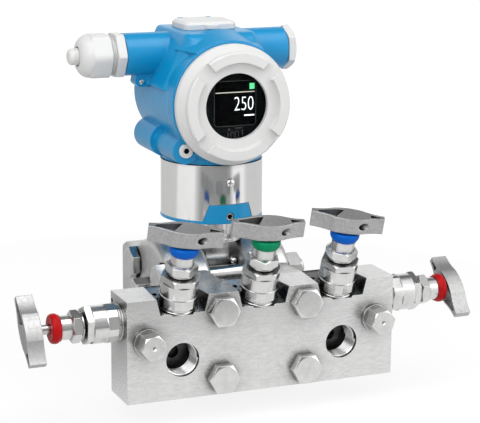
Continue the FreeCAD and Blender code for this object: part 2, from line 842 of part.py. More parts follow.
def make_cell():
    """The measuring cell between the flanges, with its neck, and what it holds."""
    body = new_body("cell_body")
    disc = new_sketch(body, "YZ_Plane", -d.flange_inner)
    draw_circle(disc, (0, 0), d.cell_radius)
    pad(body, disc, 2 * d.flange_inner)
    block = new_sketch(body, "XY_Plane")
    half_width = d.cell_neck_width / 2
    half_depth = d.cell_neck_depth / 2
    draw_outline(block, [
        (-half_width, -half_depth),
        (half_width, -half_depth),
        (half_width, half_depth),
        (-half_width, half_depth),
    ])
    pad(body, block, d.cell_neck_top)
    plate = new_sketch(body, "XY_Plane", d.cell_neck_top)
    draw_circle(plate, (0, 0), d.plate_radius)
    pad(body, plate, d.plate_height)
    stem = new_sketch(body, "XY_Plane", d.cell_neck_top + d.plate_height)
    draw_circle(stem, (0, 0), d.stem_radius)
    pad(body, stem, barrel_z - d.barrel_radius - d.cell_neck_top - d.plate_height + 6)
    bore = new_sketch(body, "XY_Plane", barrel_z - d.barrel_radius + 6)
    draw_circle(bore, (0, 0), d.sensor_radius)
    pocket(body, bore, barrel_z - d.barrel_radius + 6 - d.cell_neck_top)
    for side in (-1, 1):
        face = new_sketch(body, "YZ_Plane", side * d.flange_inner)
        draw_circle(face, (0, 0), d.chamber_radius)
        pocket(body, face, d.diaphragm_thickness, reverse=side < 0)
    body.Placement = frame_at(0, cell_y, 0)
    keep(body, "cell_body")
    sensor = turned("pressure_sensor", [
        (0, 0),
        (d.sensor_radius - d.thread_gap, 0),
        (d.sensor_radius - d.thread_gap, d.sensor_height),
        (d.sensor_radius / 2, d.sensor_height),
        (d.sensor_radius / 2, d.sensor_height + 3),
        (0, d.sensor_height + 3),
    ])
    sensor.Placement = frame_at(0, cell_y, d.cell_neck_top)
    keep(sensor, "pressure_sensor")
    films = []
    seals = []
    for turn, side in ((LEFT, -1), (RIGHT, 1)):
        film = turned("diaphragm", [
            (0, -d.diaphragm_thickness),
            (d.chamber_radius - d.seal_width - 0.2, -d.diaphragm_thickness),
            (d.chamber_radius - d.seal_width - 0.2, 0),
            (0, 0),
        ])
        film.Placement = frame_at(side * d.flange_inner, cell_y, 0, turn)
        films.append(film)
        seal = turned("process_seal", [
            (d.chamber_radius - d.seal_width, -d.diaphragm_thickness),
            (d.chamber_radius - d.thread_gap, -d.diaphragm_thickness),
            (d.chamber_radius - d.thread_gap, d.chamber_depth),
            (d.chamber_radius - d.seal_width, d.chamber_depth),
        ])
        seal.Placement = frame_at(side * d.flange_inner, cell_y, 0, turn)
        seals.append(seal)
    group("isolating_diaphragms", films)
    group("process_seals", seals)


def make_flange_fasteners():
    """The four tie bolts through both flanges, their nuts, and the plugs of the flanges."""
    bolts = []
    nuts = []
    seat = d.flange_outer - d.tie_seat
    length = 2 * seat + d.tie_nut + d.tie_tail
    for a in (-d.tie_offset, d.tie_offset):
        for b in (-d.tie_offset, d.tie_offset):
            bolt = hex_bolt("tie_bolt", d.tie_radius, length, d.tie_flats, d.tie_head)
            bolt.Placement = frame_at(-seat, cell_y + a, b, LEFT)
            bolts.append(bolt)
            corner = d.tie_flats / math.sqrt(3)
            nut = turned("tie_nut", [
                (d.tie_radius + d.thread_gap, 0),
                (corner, 0),
                (corner, d.tie_nut - 0.8),
                (d.tie_flats * 0.47, d.tie_nut),
                (d.tie_radius + d.thread_gap, d.tie_nut),
            ])
            cut_flats(nut, d.tie_flats, 0, d.tie_nut, d.tie_nut_turn)
            nut.Placement = frame_at(seat, cell_y + a, b, RIGHT)
            nuts.append(nut)
    group("flange_bolts", bolts)
    group("flange_nuts", nuts)
    rear = []
    vents = []
    for side, turn in ((-1, LEFT), (1, RIGHT)):
        plug = hex_plug("rear_plug", d.plug_head)
        plug.Placement = frame_at(side * d.port_spacing / 2, 0, 0, BACK)
        rear.append(plug)
        vent = hex_plug("side_vent_plug", d.side_plug_head)
        vent.Placement = frame_at(side * d.flange_outer, cell_y, d.side_plug_height, turn)
        vents.append(vent)
    group("rear_plugs", rear)
    group("side_vent_plugs", vents)


def hex_plug(name, head):
    corner = d.plug_flats / math.sqrt(3)
    plug = turned(name, [
        (0, -d.plug_thread_length),
        (d.plug_thread_radius, -d.plug_thread_length),
        (d.plug_thread_radius, 0),
        (corner, 0),
        (corner, head - 0.8),
        (d.plug_flats * 0.46, head),
        (0, head),
    ])
    cut_flats(plug, d.plug_flats, 0, head, d.plug_turn)
    return plug


def make_neck():
    """The painted base ring with its tab, the polished sleeve, and their two screws."""
    stem_bore = d.stem_radius + d.running_gap
    ring = turned("base_ring", [
        (stem_bore, 0),
        (d.sleeve_radius, 0),
        (d.sleeve_radius, d.ring_rim),
        (d.ring_hub_radius, d.ring_rim),
        (d.ring_hub_radius, d.ring_hub_height),
        (stem_bore, d.ring_hub_height),
    ])
    foot_x = d.sleeve_radius * sine(d.tab_foot_angle)
    top_x = d.sleeve_radius * sine(d.tab_top_angle)
    tab = new_sketch(ring, "XZ_Plane", d.sleeve_radius + 1)
    draw_outline(tab, [
        (-foot_x, 0),
        (foot_x, 0),
        (foot_x, d.ring_rim),
        (top_x, d.tab_height),
        (-top_x, d.tab_height),
        (-foot_x, d.ring_rim),
    ])
    pad(ring, tab, d.tab_thickness, reverse=True)
    trim = new_sketch(ring, "XY_Plane")
    draw_circle(trim, (0, 0), d.sleeve_radius * 2)
    draw_circle(trim, (0, 0), d.sleeve_radius)
    pocket(ring, trim, d.tab_height, reverse=True)
    screw_z = d.tab_screw_height
    cut_round(ring, "XZ_Plane", (0, screw_z), d.tab_screw_radius + d.thread_gap, 8, d.sleeve_radius)
    ring.Placement = frame_at(0, cell_y, d.ring_bottom)
    keep(ring, "base_ring")
    screw = turned("clamp_screw", [
        (0, -7),
        (d.tab_screw_radius, -7),
        (d.tab_screw_radius, -0.8),
        (d.tab_screw_radius * 0.55, -0.8),
        (0, -2.2),
    ])
    screw.Placement = frame_at(0, cell_y - d.sleeve_radius, d.ring_bottom + screw_z, FRONT)
    keep(screw, "clamp_screw")
    sleeve = turned("neck_sleeve", [
        (d.sleeve_radius - d.sleeve_wall, 0),
        (d.sleeve_radius, 0),
        (d.sleeve_radius, d.sleeve_height),
        (d.sleeve_radius - d.sleeve_wall, d.sleeve_height),
    ])
    window = new_sketch(sleeve, "XZ_Plane", 0)
    gap = d.tab_gap
    rise = d.tab_height - d.ring_rim
    draw_outline(window, [
        (-foot_x - gap, -1),
        (foot_x + gap, -1),
        (foot_x + gap, 0),
        (top_x + gap, rise + gap),
        (-top_x - gap, rise + gap),
        (-foot_x - gap, 0),
    ])
    pocket(sleeve, window, d.sleeve_radius + 2, reverse=True)
    button_at = (0, d.button_height - d.ring_rim)
    button_hole = d.button_radius + d.thread_gap
    cut_round(sleeve, "XZ_Plane", button_at, button_hole, d.sleeve_radius + 2, 0, True)
    sleeve.Placement = frame_at(0, cell_y, sleeve_bottom)
    keep(sleeve, "neck_sleeve")
    button = turned("sleeve_screw", [
        (0, -d.sleeve_wall),
        (d.button_radius, -d.sleeve_wall),
        (d.button_radius, d.button_proud / 2),
        (d.button_radius * 0.6, d.button_proud),
        (0, d.button_proud),
    ])
    button.Placement = frame_at(0, cell_y - d.sleeve_radius, d.ring_bottom + d.button_height, FRONT)
    keep(button, "sleeve_screw")


def make_shoulders(body):
    """The saddle under the cap, with sides that slope down to the barrel and rounded edges."""
    outline = new_sketch(body, "XZ_Plane", d.shoulder_front)
    draw_outline(outline, [
        (-d.shoulder_foot_half, d.shoulder_foot),
        (d.shoulder_foot_half, d.shoulder_foot),
        (d.shoulder_half, d.shoulder_height),
        (-d.shoulder_half, d.shoulder_height),
    ])
    pad(body, outline, d.shoulder_front + d.shoulder_rear, reverse=True)
    top = d.shoulder_height.value
    front = -d.shoulder_front.value
    rear = d.shoulder_rear.value

    def along_platform(edge):
        points = [vertex.Point for vertex in edge.Vertexes]
        return all(abs(p.z - top) < 1e-6 and abs(p.x - points[0].x) < 1e-6 for p in points)

    def around_end(edge, y):
        points = [vertex.Point for vertex in edge.Vertexes]
        return all(abs(p.y - y) < 1e-6 for p in points) and max(p.z for p in points) > top / 2

    round_edges(body, d.shoulder_side_round, along_platform)
    round_edges(body, d.shoulder_front_round, lambda edge: around_end(edge, front))
    round_edges(body, d.shoulder_rear_round, lambda edge: around_end(edge, rear))


def make_housing():
    """The one-piece painted head: a barrel closed at the back, its shoulders, entries and bosses.

    Local axes: the barrel runs along Y with its mouth at the front, and the neck is below it.
    """
    body = new_body("housing")
    make_shoulders(body)
    outer = d.barrel_radius
    barrel = new_sketch(body, "YZ_Plane")
    draw_outline(barrel, [
        (-d.barrel_front, 0),
        (-d.barrel_front, outer + 0.6),
        (-d.barrel_front + d.collar_length, outer + 0.6),
        (-d.barrel_front + d.collar_length + 2, outer),
        (d.barrel_rear - 6, d.barrel_rear_radius, 6),
        (d.barrel_rear, d.barrel_rear_radius - 6),
        (d.barrel_rear, 0),
    ])
    turn_feature = body.newObject("PartDesign::Revolution", "barrel")
    turn_feature.Profile = barrel
    turn_feature.ReferenceAxis = (barrel, ["H_Axis"])
    turn_feature.Angle = 360
    doc.recompute()
    brow = new_sketch(body, "XZ_Plane", d.brow_back)
    brow_x = d.brow_radius * sine(d.brow_half_angle)
    brow_z = d.brow_radius * cosine(d.brow_half_angle)
    draw_outline(brow, [
        (-brow_x * 0.75, brow_z * 0.75),
        (brow_x * 0.75, brow_z * 0.75),
        (brow_x, brow_z, d.brow_radius),
        (-brow_x, brow_z),
    ])
    flare = pad(body, brow, d.brow_length)
    bind(flare, "TaperAngle", -d.brow_flare)
    entry = new_sketch(body, "YZ_Plane", 0)
    draw_circle(entry, (d.entry_back, d.entry_height), d.entry_radius)
    pad(body, entry, 2 * d.entry_reach, middle=True)
    neck = new_sketch(body, "XY_Plane", collar_bottom - barrel_z)
    draw_circle(neck, (0, 0), d.sleeve_radius - 0.6)
    pad(body, neck, barrel_z - collar_bottom - d.sleeve_radius * 0.45)
    boss_at = (-d.lock_boss_side, -d.lock_boss_drop)
    boss = new_sketch(body, "XZ_Plane", d.barrel_front - d.lock_boss_inset)
    draw_circle(boss, boss_at, d.lock_boss_radius - 0.8)
    pad(body, boss, d.barrel_front - d.lock_boss_inset + d.lock_boss_rear, reverse=True)
    lobe = new_sketch(body, "XZ_Plane", -d.lock_boss_step)
    draw_circle(lobe, (-d.lock_boss_side - 1, -d.lock_boss_drop + 1), d.lock_boss_radius + 1)
    pad(body, lobe, d.lock_boss_rear - d.lock_boss_step - 1.5, reverse=True)
    web = new_sketch(body, "XZ_Plane", d.barrel_front - 6)
    draw_outline(web, [
        (-d.lock_boss_side, -d.lock_boss_drop - d.lock_boss_radius + 1.4),
        (-d.lock_boss_side + 14, -d.lock_boss_drop - d.lock_boss_radius + 3),
        (0, -d.barrel_radius + 6),
        (0, 0),
        (-d.lock_boss_side, -d.lock_boss_drop + 4),
    ])
    pad(body, web, d.barrel_front - 6 + d.lock_boss_rear - 4, reverse=True)
    lug_front = d.lug_depth / 2 - d.entry_back
    lug = new_sketch(body, "XZ_Plane", lug_front)
    lug_half = d.lug_width / 2
    draw_outline(lug, [
        (-lug_side - lug_half, d.lug_height, lug_half),
        (-lug_side, d.lug_height - d.lug_drop),
        (-lug_side + d.lug_width, d.lug_height - d.lug_drop),
        (-lug_side + d.lug_width + d.lug_stand, d.lug_height + d.lug_rise),
        (-lug_side - lug_half * 0.4, d.lug_height + d.lug_rise),
        (-lug_side - lug_half * 0.8, d.lug_height + d.lug_rise * 0.4),
    ])
    pad(body, lug, d.lug_depth, reverse=True)
    ear_y = d.cap_back + d.cap_depth / 2 + d.hinge_set_back
    ear_z = d.shoulder_height + d.hinge_height
    knuckle = d.hinge_knuckle_radius
    ear_in = d.hinge_knuckle_half + d.thread_gap
    for ear_x in (ear_in, -ear_in - d.hinge_ear_width):
        ear = new_sketch(body, "YZ_Plane", ear_x)
        draw_outline(ear, [
            (ear_y - knuckle + 0.6, d.shoulder_height - 1),
            (ear_y + knuckle, d.shoulder_height - 1),
            (ear_y + knuckle, ear_z, knuckle),
            (ear_y - knuckle, ear_z),
        ])
        pad(body, ear, d.hinge_ear_width)
    pin_hole = new_sketch(body, "YZ_Plane", d.hinge_knuckle_half + d.hinge_ear_width + 1)
    draw_circle(pin_hole, (ear_y, ear_z), d.hinge_radius)
    pocket(body, pin_hole, 2 * (d.hinge_knuckle_half + d.hinge_ear_width + 1))
    cavity = new_sketch(body, "XZ_Plane", d.barrel_front)
    draw_circle(cavity, (0, 0), d.cavity_radius)
    pocket(body, cavity, d.barrel_front + d.barrel_rear - d.barrel_wall)
    mouth = new_sketch(body, "XZ_Plane", d.barrel_front)
    draw_circle(mouth, (0, 0), d.cover_thread_radius + d.thread_gap)
    pocket(body, mouth, d.cover_skirt + 1)
    thread = d.gland_thread_radius + d.thread_gap
    entry_at = (d.entry_back, d.entry_height)
    thread_depth = d.gland_thread_length + 1
    wire_at = (d.entry_back, d.entry_height - d.wire_bore_drop)
    for side in (-1, 1):
        face = side * d.entry_reach
        cut_round(body, "YZ_Plane", entry_at, thread, thread_depth, face, side < 0)
        cut_round(body, "YZ_Plane", wire_at, d.wire_bore, d.entry_reach - 12, face, side < 0)
    lock_hole = d.lock_screw_radius / 2 + d.thread_gap
    cut_round(body, "XZ_Plane", boss_at, lock_hole, 8, d.barrel_front - d.lock_boss_inset)
    head_room = d.lock_screw_radius + d.lock_screw_room
    cut_round(body, "XZ_Plane", boss_at, head_room, d.lock_boss_inset, d.barrel_front)
    earth_hole = d.earth_screw_radius * 0.6 + d.thread_gap
    cut_round(body, "XZ_Plane", (-lug_side, d.lug_height), earth_hole, 6, lug_front)
    for key_x in (-d.key_spacing / 2, d.key_spacing / 2):
        key_at = (key_x, d.cap_back)
        key_hole = d.key_radius + d.running_gap
        cut_round(body, "XY_Plane", key_at, key_hole, d.key_depth + 1.5, d.shoulder_height)
    spigot = new_sketch(body, "XY_Plane", collar_bottom - barrel_z)
    draw_circle(spigot, (0, 0), d.spigot_radius)
    pad(body, spigot, d.spigot_length, reverse=True)
    stem = new_sketch(body, "XY_Plane", collar_bottom - barrel_z - d.spigot_length)
    draw_circle(stem, (0, 0), d.stem_radius + d.thread_gap)
    pocket(body, stem, d.barrel_radius * 0.8, reverse=True)
    body.Placement = frame_at(0, cell_y, barrel_z)
    keep(body, "housing")


def make_cover():
    """The screwed front cover with its grip ring and window, and its sealing ring."""
    ledge = d.cover_length - d.grip_height - d.cover_skin
    face = d.cover_length - d.grip_height
    cover = turned("front_cover", [
        (d.cavity_radius - 0.4, -d.cover_skirt),
        (d.cover_thread_radius, -d.cover_skirt),
        (d.cover_thread_radius, 0),
        (d.cover_rim_radius, 0),
        (d.cover_rim_radius, d.cover_rim_length),
        (d.cover_face_radius, face),
        (d.cover_face_radius, d.cover_length - 0.8),
        (d.cover_face_radius - 0.8, d.cover_length),
        (d.grip_inner_radius, d.cover_length),
        (d.grip_inner_radius - 0.8, face),
        (d.window_radius, face),
        (d.window_radius, ledge),
        (d.window_radius + d.window_ledge, ledge),
        (d.window_radius + d.window_ledge, ledge - d.window_thickness),
        (d.cavity_radius - 0.4, ledge - d.window_thickness - 1),
    ])
    slot = new_sketch(cover, "XY_Plane", face)
    half = d.grip_slot / 2
    draw_outline(slot, [
        (d.grip_inner_radius - 2, -half),
        (d.cover_rim_radius + 2, -half - 1),
        (d.cover_rim_radius + 2, half + 1),
        (d.grip_inner_radius - 2, half),
    ])
    slot.AttachmentOffset = FreeCAD.Placement(
        slot.AttachmentOffset.Base, FreeCAD.Rotation(FreeCAD.Vector(0, 0, 1), 45)
    )
    first = pocket(cover, slot, d.grip_height, reverse=True)
    pattern = cover.newObject("PartDesign::PolarPattern", "grip_slots")
    pattern.Originals = [first]
    pattern.Axis = (origin_plane(cover, "Z_Axis"), [""])
    pattern.Angle = 360
    pattern.Occurrences = 4
    cover.Tip = pattern
    doc.recompute()
    rim_y = cell_y - d.barrel_front - d.cover_gap
    cover.Placement = frame_at(0, rim_y, barrel_z, FRONT)
    keep(cover, "front_cover")
    glass = turned("window_glass", [
        (0, ledge - d.window_thickness),
        (d.window_radius + d.window_ledge - d.thread_gap, ledge - d.window_thickness),
        (d.window_radius + d.window_ledge - d.thread_gap, ledge),
        (0, ledge),
    ])
    glass.Placement = frame_at(0, rim_y, barrel_z, FRONT)
    keep(glass, "window_glass")
    seal_x = d.cover_thread_radius + d.thread_gap + 0.1
    seal = turned("cover_seal", [
        (seal_x, -d.cover_gap),
        (seal_x + 2 * d.seal_ring_radius, -d.cover_gap),
        (seal_x + 2 * d.seal_ring_radius, 0),
        (seal_x, 0),
    ])
    seal.Placement = frame_at(0, rim_y, barrel_z, FRONT)
    keep(seal, "cover_seal")


def make_electronics():
    """The display behind the window, the electronics insert and the terminals."""
    back = cell_y + d.barrel_rear - d.barrel_wall
    insert_front = back - d.insert_depth
    insert = turned("electronics_insert", [
        (0, 0),
        (d.insert_radius, 0),
        (d.insert_radius, d.insert_depth - 2),
        (d.insert_radius - 2, d.insert_depth),
        (0, d.insert_depth),
    ])
    insert.Placement = frame_at(0, back, barrel_z, FRONT)
    keep(insert, "electronics_insert")
    terminal = new_body("terminal_block")
    base = new_sketch(terminal, "XZ_Plane")
    half = d.terminal_width / 2
    draw_outline(base, [
        (-half, -d.terminal_height / 2),
        (half, -d.terminal_height / 2),
        (half, d.terminal_height / 2),
        (-half, d.terminal_height / 2),
    ])
    pad(terminal, base, d.terminal_depth)
    for i in (-1, 0, 1):
        centre = (i * d.terminal_width / 3, as_size(0))
        cut_round(terminal, "XZ_Plane", centre, d.terminal_height / 4, 2, d.terminal_depth)
    terminal.Placement = frame_at(0, insert_front, barrel_z - 14)
    keep(terminal, "terminal_block")
    ledge = d.cover_length - d.grip_height - d.cover_skin
    display_front = cell_y - d.barrel_front - d.cover_gap - ledge + d.window_thickness + d.display_gap
    display_back = display_front + d.display_depth
    carrier = insert_front - display_back
    display = turned("display_module", [
        (0, 0),
        (d.display_radius, 0),
        (d.display_radius, -d.display_depth + 1),
        (d.display_radius - 1, -d.display_depth),
        (d.display_radius - 4, -d.display_depth),
        (d.display_radius - 4, -d.display_depth - carrier),
        (d.display_radius - 7, -d.display_depth - carrier),
        (d.display_radius - 7, -d.display_depth),
        (0, -d.display_depth),
    ])
    clearance = new_sketch(display, "XZ_Plane")
    draw_outline(clearance, [
        (-half - 1, -d.display_depth - carrier - 1),
        (half + 1, -d.display_depth - carrier - 1),
        (half + 1, -d.display_depth - 0.5),
        (-half - 1, -d.display_depth - 0.5),
    ])
    pocket(display, clearance, d.display_radius, reverse=True)
    display.Placement = frame_at(0, display_front, barrel_z, FRONT)
    keep(display, "display_module")


def make_entries():
    """The cable gland at the left, closed by a pin, and the blind plug at the right."""
    y = cell_y + d.entry_back
    z = barrel_z + d.entry_height
    seal_out = d.entry_seal
    corner = d.gland_flats / math.sqrt(3)
    gland = turned("gland_body", [
        (d.dome_mouth_radius, -d.gland_thread_length),
        (d.gland_thread_radius, -d.gland_thread_length),
        (d.gland_thread_radius, seal_out),
        (corner, seal_out),
        (corner, seal_out + d.gland_hex_length),
        (d.gland_neck_radius, seal_out + d.gland_hex_length),
        (d.gland_neck_radius, seal_out + d.gland_hex_length + d.gland_neck_length),
        (d.dome_mouth_radius + 2.4, seal_out + d.gland_hex_length + d.gland_neck_length),
        (d.dome_mouth_radius + 2.4, seal_out + d.gland_hex_length - 2),
        (d.dome_mouth_radius, seal_out + d.gland_hex_length - 2),
    ])
    cut_flats(gland, d.gland_flats, seal_out, d.gland_hex_length, 0)
    gland.Placement = frame_at(-d.entry_reach, y, z, LEFT)
    keep(gland, "gland_body")
    foot = seal_out + d.gland_hex_length + 3.4
    top = foot + d.dome_length
    dome_corner = d.dome_flats / math.sqrt(3)
    dome = turned("gland_dome_nut", [
        (d.gland_neck_radius + d.thread_gap, foot),
        (dome_corner - 0.8, foot),
        (dome_corner, foot + 0.8),
        (dome_corner, foot + d.dome_hex_length),
        (dome_corner - 0.6, foot + d.dome_hex_length + 0.6, 9.5),
        (d.dome_mouth_radius + 0.8, top),
        (d.dome_mouth_radius, top),
        (d.dome_mouth_radius, top - 4),
        (d.dome_mouth_radius + 2.6, top - 6),
        (d.gland_neck_radius + d.thread_gap, top - 7.5),
    ])
    cut_flats(dome, d.dome_flats, foot, d.dome_hex_length, 0)
    dome.Placement = frame_at(-d.entry_reach, y, z, LEFT)
    keep(dome, "gland_dome_nut")
    insert_foot = seal_out + d.gland_hex_length - 2
    sleeve = turned("gland_seal", [
        (d.blank_pin_radius, insert_foot),
        (d.dome_mouth_radius + 2.3, insert_foot),
        (d.dome_mouth_radius + 2.3, top - 6.6),
        (d.dome_mouth_radius - 0.1, top - 4.2),
        (d.blank_pin_radius, top - 4.2),
    ])
    sleeve.Placement = frame_at(-d.entry_reach, y, z, LEFT)
    keep(sleeve, "gland_seal")
    pin = turned("gland_blank_pin", [
        (0, insert_foot),
        (d.blank_pin_radius, insert_foot),
        (d.blank_pin_radius, top + d.blank_pin_proud - 2.4, 2.6),
        (d.blank_pin_radius - 2.2, top + d.blank_pin_proud),
        (0, top + d.blank_pin_proud),
    ])
    pin.Placement = frame_at(-d.entry_reach, y, z, LEFT)
    keep(pin, "gland_blank_pin")
    blind_corner = d.blind_flats / math.sqrt(3)
    plug = turned("blind_plug", [
        (0, -d.gland_thread_length),
        (d.gland_thread_radius, -d.gland_thread_length),
        (d.gland_thread_radius, seal_out),
        (blind_corner - 0.6, seal_out),
        (blind_corner, seal_out + 0.6),
        (blind_corner, seal_out + d.blind_length - 1),
        (blind_corner - 1.8, seal_out + d.blind_length),
        (0, seal_out + d.blind_length),
    ])
    cut_flats(plug, d.blind_flats, seal_out, d.blind_length, 0)
    plug.Placement = frame_at(d.entry_reach, y, z, RIGHT)
    keep(plug, "blind_plug")
    rings = []
    for side, turn in ((-1, LEFT), (1, RIGHT)):
        ring = turned("entry_seal", [
            (d.gland_thread_radius + 0.1, 0),
            (d.entry_radius - 0.9, 0),
            (d.entry_radius - 0.9, seal_out),
            (d.gland_thread_radius + 0.1, seal_out),
        ])
        ring.Placement = frame_at(side * d.entry_reach, y, z, turn)
        rings.append(ring)
    group("entry_seals", rings)


def make_head_screws():
    """The cover lock screw in the front of the side boss and the earth screw on its lug."""
    lock = turned("cover_lock_screw", [
        (0, -7),
        (d.lock_screw_radius * 0.5, -7),
        (d.lock_screw_radius * 0.5, 0),
        (d.lock_screw_radius, 0),
        (d.lock_screw_radius, d.lock_screw_head - 0.4),
        (d.lock_screw_radius - 0.4, d.lock_screw_head),
        (d.lock_screw_radius * 0.4, d.lock_screw_head),
        (0, d.lock_screw_head - 1.2),
    ])
    lock_seat = cell_y - d.barrel_front + d.lock_boss_inset
    lock.Placement = frame_at(-d.lock_boss_side, lock_seat, barrel_z - d.lock_boss_drop, FRONT)
    keep(lock, "cover_lock_screw")
    earth = turned("earth_screw", [
        (0, -5),
        (d.earth_screw_radius * 0.6, -5),
        (d.earth_screw_radius * 0.6, 0),
        (d.earth_screw_radius, 0),
        (d.earth_screw_radius, 1.4),
        (0, 1.4),
    ])
    earth_seat = cell_y + d.entry_back - d.lug_depth / 2
    earth.Placement = frame_at(-lug_side, earth_seat, barrel_z + d.lug_height, FRONT)
    keep(earth, "earth_screw")


def make_top_cap():
    """The hinged cap on the head's shoulder and the two keys under it."""
    platform = barrel_z + d.shoulder_height
    cap = new_body("top_cap")
    outline = new_sketch(cap, "XY_Plane")
    half_w = d.cap_width / 2
    half_d = d.cap_depth / 2
    draw_outline(outline, rounded_box(half_w, half_d, d.cap_corner))
    pad(cap, outline, d.cap_height)
    top = d.cap_height.value

    def on_top(edge):
        return all(abs(vertex.Point.z - top) < 1e-6 for vertex in edge.Vertexes)

    round_edges(cap, d.cap_bevel, on_top, "PartDesign::Chamfer")
    inside = new_sketch(cap, "XY_Plane")
    wall = d.cap_wall
    draw_outline(inside, [
        (-half_w + wall + 1, -half_d + wall + 1),
        (half_w - wall - 1, -half_d + wall + 1),
        (half_w - wall - 1, half_d - wall - 2),
        (-half_w + wall + 1, half_d - wall - 2),
    ])
    pocket(cap, inside, d.cap_height - d.cap_wall, reverse=True)
    latch = new_sketch(cap, "XZ_Plane", half_d)
    latch_foot = (d.cap_height - d.cap_bevel - d.latch_height) / 2
    draw_outline(latch, [
        (-d.latch_width / 2, latch_foot),
        (d.latch_width / 2, latch_foot),
        (d.latch_width / 2, latch_foot + d.latch_height),
        (-d.latch_width / 2, latch_foot + d.latch_height),
    ])
    pad(cap, latch, d.latch_proud)
    knuckle = d.hinge_knuckle_radius
    hinge_z = d.hinge_height - d.cap_gap
    hinge_y = half_d + d.hinge_set_back
    web = new_sketch(cap, "YZ_Plane")
    draw_outline(web, [
        (half_d - 1, hinge_z - knuckle + 0.8),
        (hinge_y, hinge_z - knuckle + 0.8),
        (hinge_y, hinge_z + 0.8),
        (half_d - 1, hinge_z + 0.8),
    ])
    pad(cap, web, 2 * d.hinge_knuckle_half, middle=True)
    barrel = new_sketch(cap, "YZ_Plane")
    draw_circle(barrel, (hinge_y, hinge_z), knuckle)
    pad(cap, barrel, 2 * d.hinge_knuckle_half, middle=True)
    pin_at = (hinge_y, hinge_z)
    pin_bore = d.hinge_radius + d.running_gap
    cut_round(cap, "YZ_Plane", pin_at, pin_bore, 2 * d.hinge_knuckle_half + 2, d.hinge_knuckle_half + 1)
    cap.Placement = frame_at(0, cell_y + d.cap_back, platform + d.cap_gap)
    keep(cap, "top_cap")
    pin_half = d.hinge_knuckle_half + d.hinge_ear_width
    pin = turned("cap_hinge_pin", [
        (0, -pin_half),
        (d.hinge_radius, -pin_half),
        (d.hinge_radius, pin_half),
        (0, pin_half),
    ])
    pin_y = cell_y + d.cap_back + hinge_y
    pin.Placement = frame_at(0, pin_y, platform + d.hinge_height, RIGHT)
    keep(pin, "cap_hinge_pin")
    for side, label in ((-1, "zero_key"), (1, "span_key")):
        key = turned(label, [
            (0, -d.key_depth),
            (d.key_radius, -d.key_depth),
            (d.key_radius, d.key_proud - 0.5),
            (d.key_radius - 0.5, d.key_proud),
            (0, d.key_proud),
        ])
        key.Placement = frame_at(side * d.key_spacing / 2, cell_y + d.cap_back, platform)
        keep(key, label)


def bonnet(name):
    """The part screwed into the block: collar, hexagon, round body and open stuffing box."""
    hex_foot = d.collar_height
    hex_top = hex_foot + d.bonnet_hex
    body_top = hex_top + d.bonnet_body
    mouth = stuffing_mouth
    groove = d.collar_groove
    packing_foot = mouth - d.packing_height - d.follower_length
    piece = turned(name + "_bonnet", [
        (d.needle_radius + d.running_gap, -d.bonnet_thread_length),
        (d.bonnet_thread_radius, -d.bonnet_thread_length),
        (d.bonnet_thread_radius, 0),
        (d.collar_radius, 0),
        (d.collar_radius, d.collar_height / 2 - groove),
        (d.collar_radius - groove, d.collar_height / 2),
        (d.collar_radius, d.collar_height / 2 + groove),
        (d.collar_radius, hex_foot),
        (d.bonnet_corner, hex_foot + 0.6),
        (d.bonnet_corner, hex_top),
        (d.bonnet_radius, hex_top + 0.6),
        (d.bonnet_radius, body_top),
        (d.locknut_bore - d.running_gap, body_top),
        (d.locknut_bore - d.running_gap, mouth),
        (d.gland_tube_radius + 0.2, mouth),
        (d.packing_radius + d.running_gap, mouth - 1),
        (d.packing_radius + d.running_gap, packing_foot),
        (d.spindle_thread_radius + d.running_gap, packing_foot),
        (d.spindle_thread_radius + d.running_gap, -1),
        (d.needle_radius + d.running_gap, -1),
    ])
    cut_flats(piece, d.bonnet_flats, hex_foot, d.bonnet_hex, d.bonnet_turn)
    piece.Placement = valve_frame(name)
    return piece


def gland_nut(name):
    """The nut that presses on the packing, with a round foot and a long tube above its hexagon."""
    corner = d.gland_nut_flats / math.sqrt(3)
    foot = stuffing_mouth + d.gland_nut_gap
    top = foot + d.gland_nut_height
    bore = d.spindle_radius + d.running_gap
    follower_foot = stuffing_mouth - d.follower_length
    piece = turned(name + "_gland_nut", [
        (bore, follower_foot),
        (d.packing_radius, follower_foot),
        (d.packing_radius, foot),
        (d.gland_nut_foot - 0.8, foot),
        (d.gland_nut_foot, foot + 0.8),
        (d.gland_nut_foot, foot + 1.8),
        (corner, foot + 3),
        (corner, top - 1.2),
        (d.gland_tube_radius + 0.4, top),
        (d.gland_tube_radius, top),
        (d.gland_tube_radius, tube_top),
        (bore, tube_top),
    ])
    cut_flats(piece, d.gland_nut_flats, foot, d.gland_nut_height, GLAND_NUT_TURN[name])
    piece.Placement = valve_frame(name)
    return piece


def lock_nut(name):
    foot = d.collar_height + d.bonnet_hex + d.bonnet_body
    corner = d.locknut_flats / math.sqrt(3)
    piece = turned(name + "_lock_nut", [
        (d.locknut_bore, foot),
        (corner - 0.8, foot),
        (corner, foot + 0.6),
        (corner, foot + d.locknut_height - 0.6),
        (corner - 0.8, foot + d.locknut_height),
        (d.locknut_bore, foot + d.locknut_height),
    ])
    cut_flats(piece, d.locknut_flats, foot, d.locknut_height, d.locknut_turn)
    piece.Placement = valve_frame(name)
    return piece


def packing(name):
    top = stuffing_mouth - d.follower_length
    piece = turned(name + "_packing", [
        (d.spindle_radius + d.running_gap, top - d.packing_height),
        (d.packing_radius, top - d.packing_height),
        (d.packing_radius, top),
        (d.spindle_radius + d.running_gap, top),
    ])
    piece.Placement = valve_frame(name)
    return piece


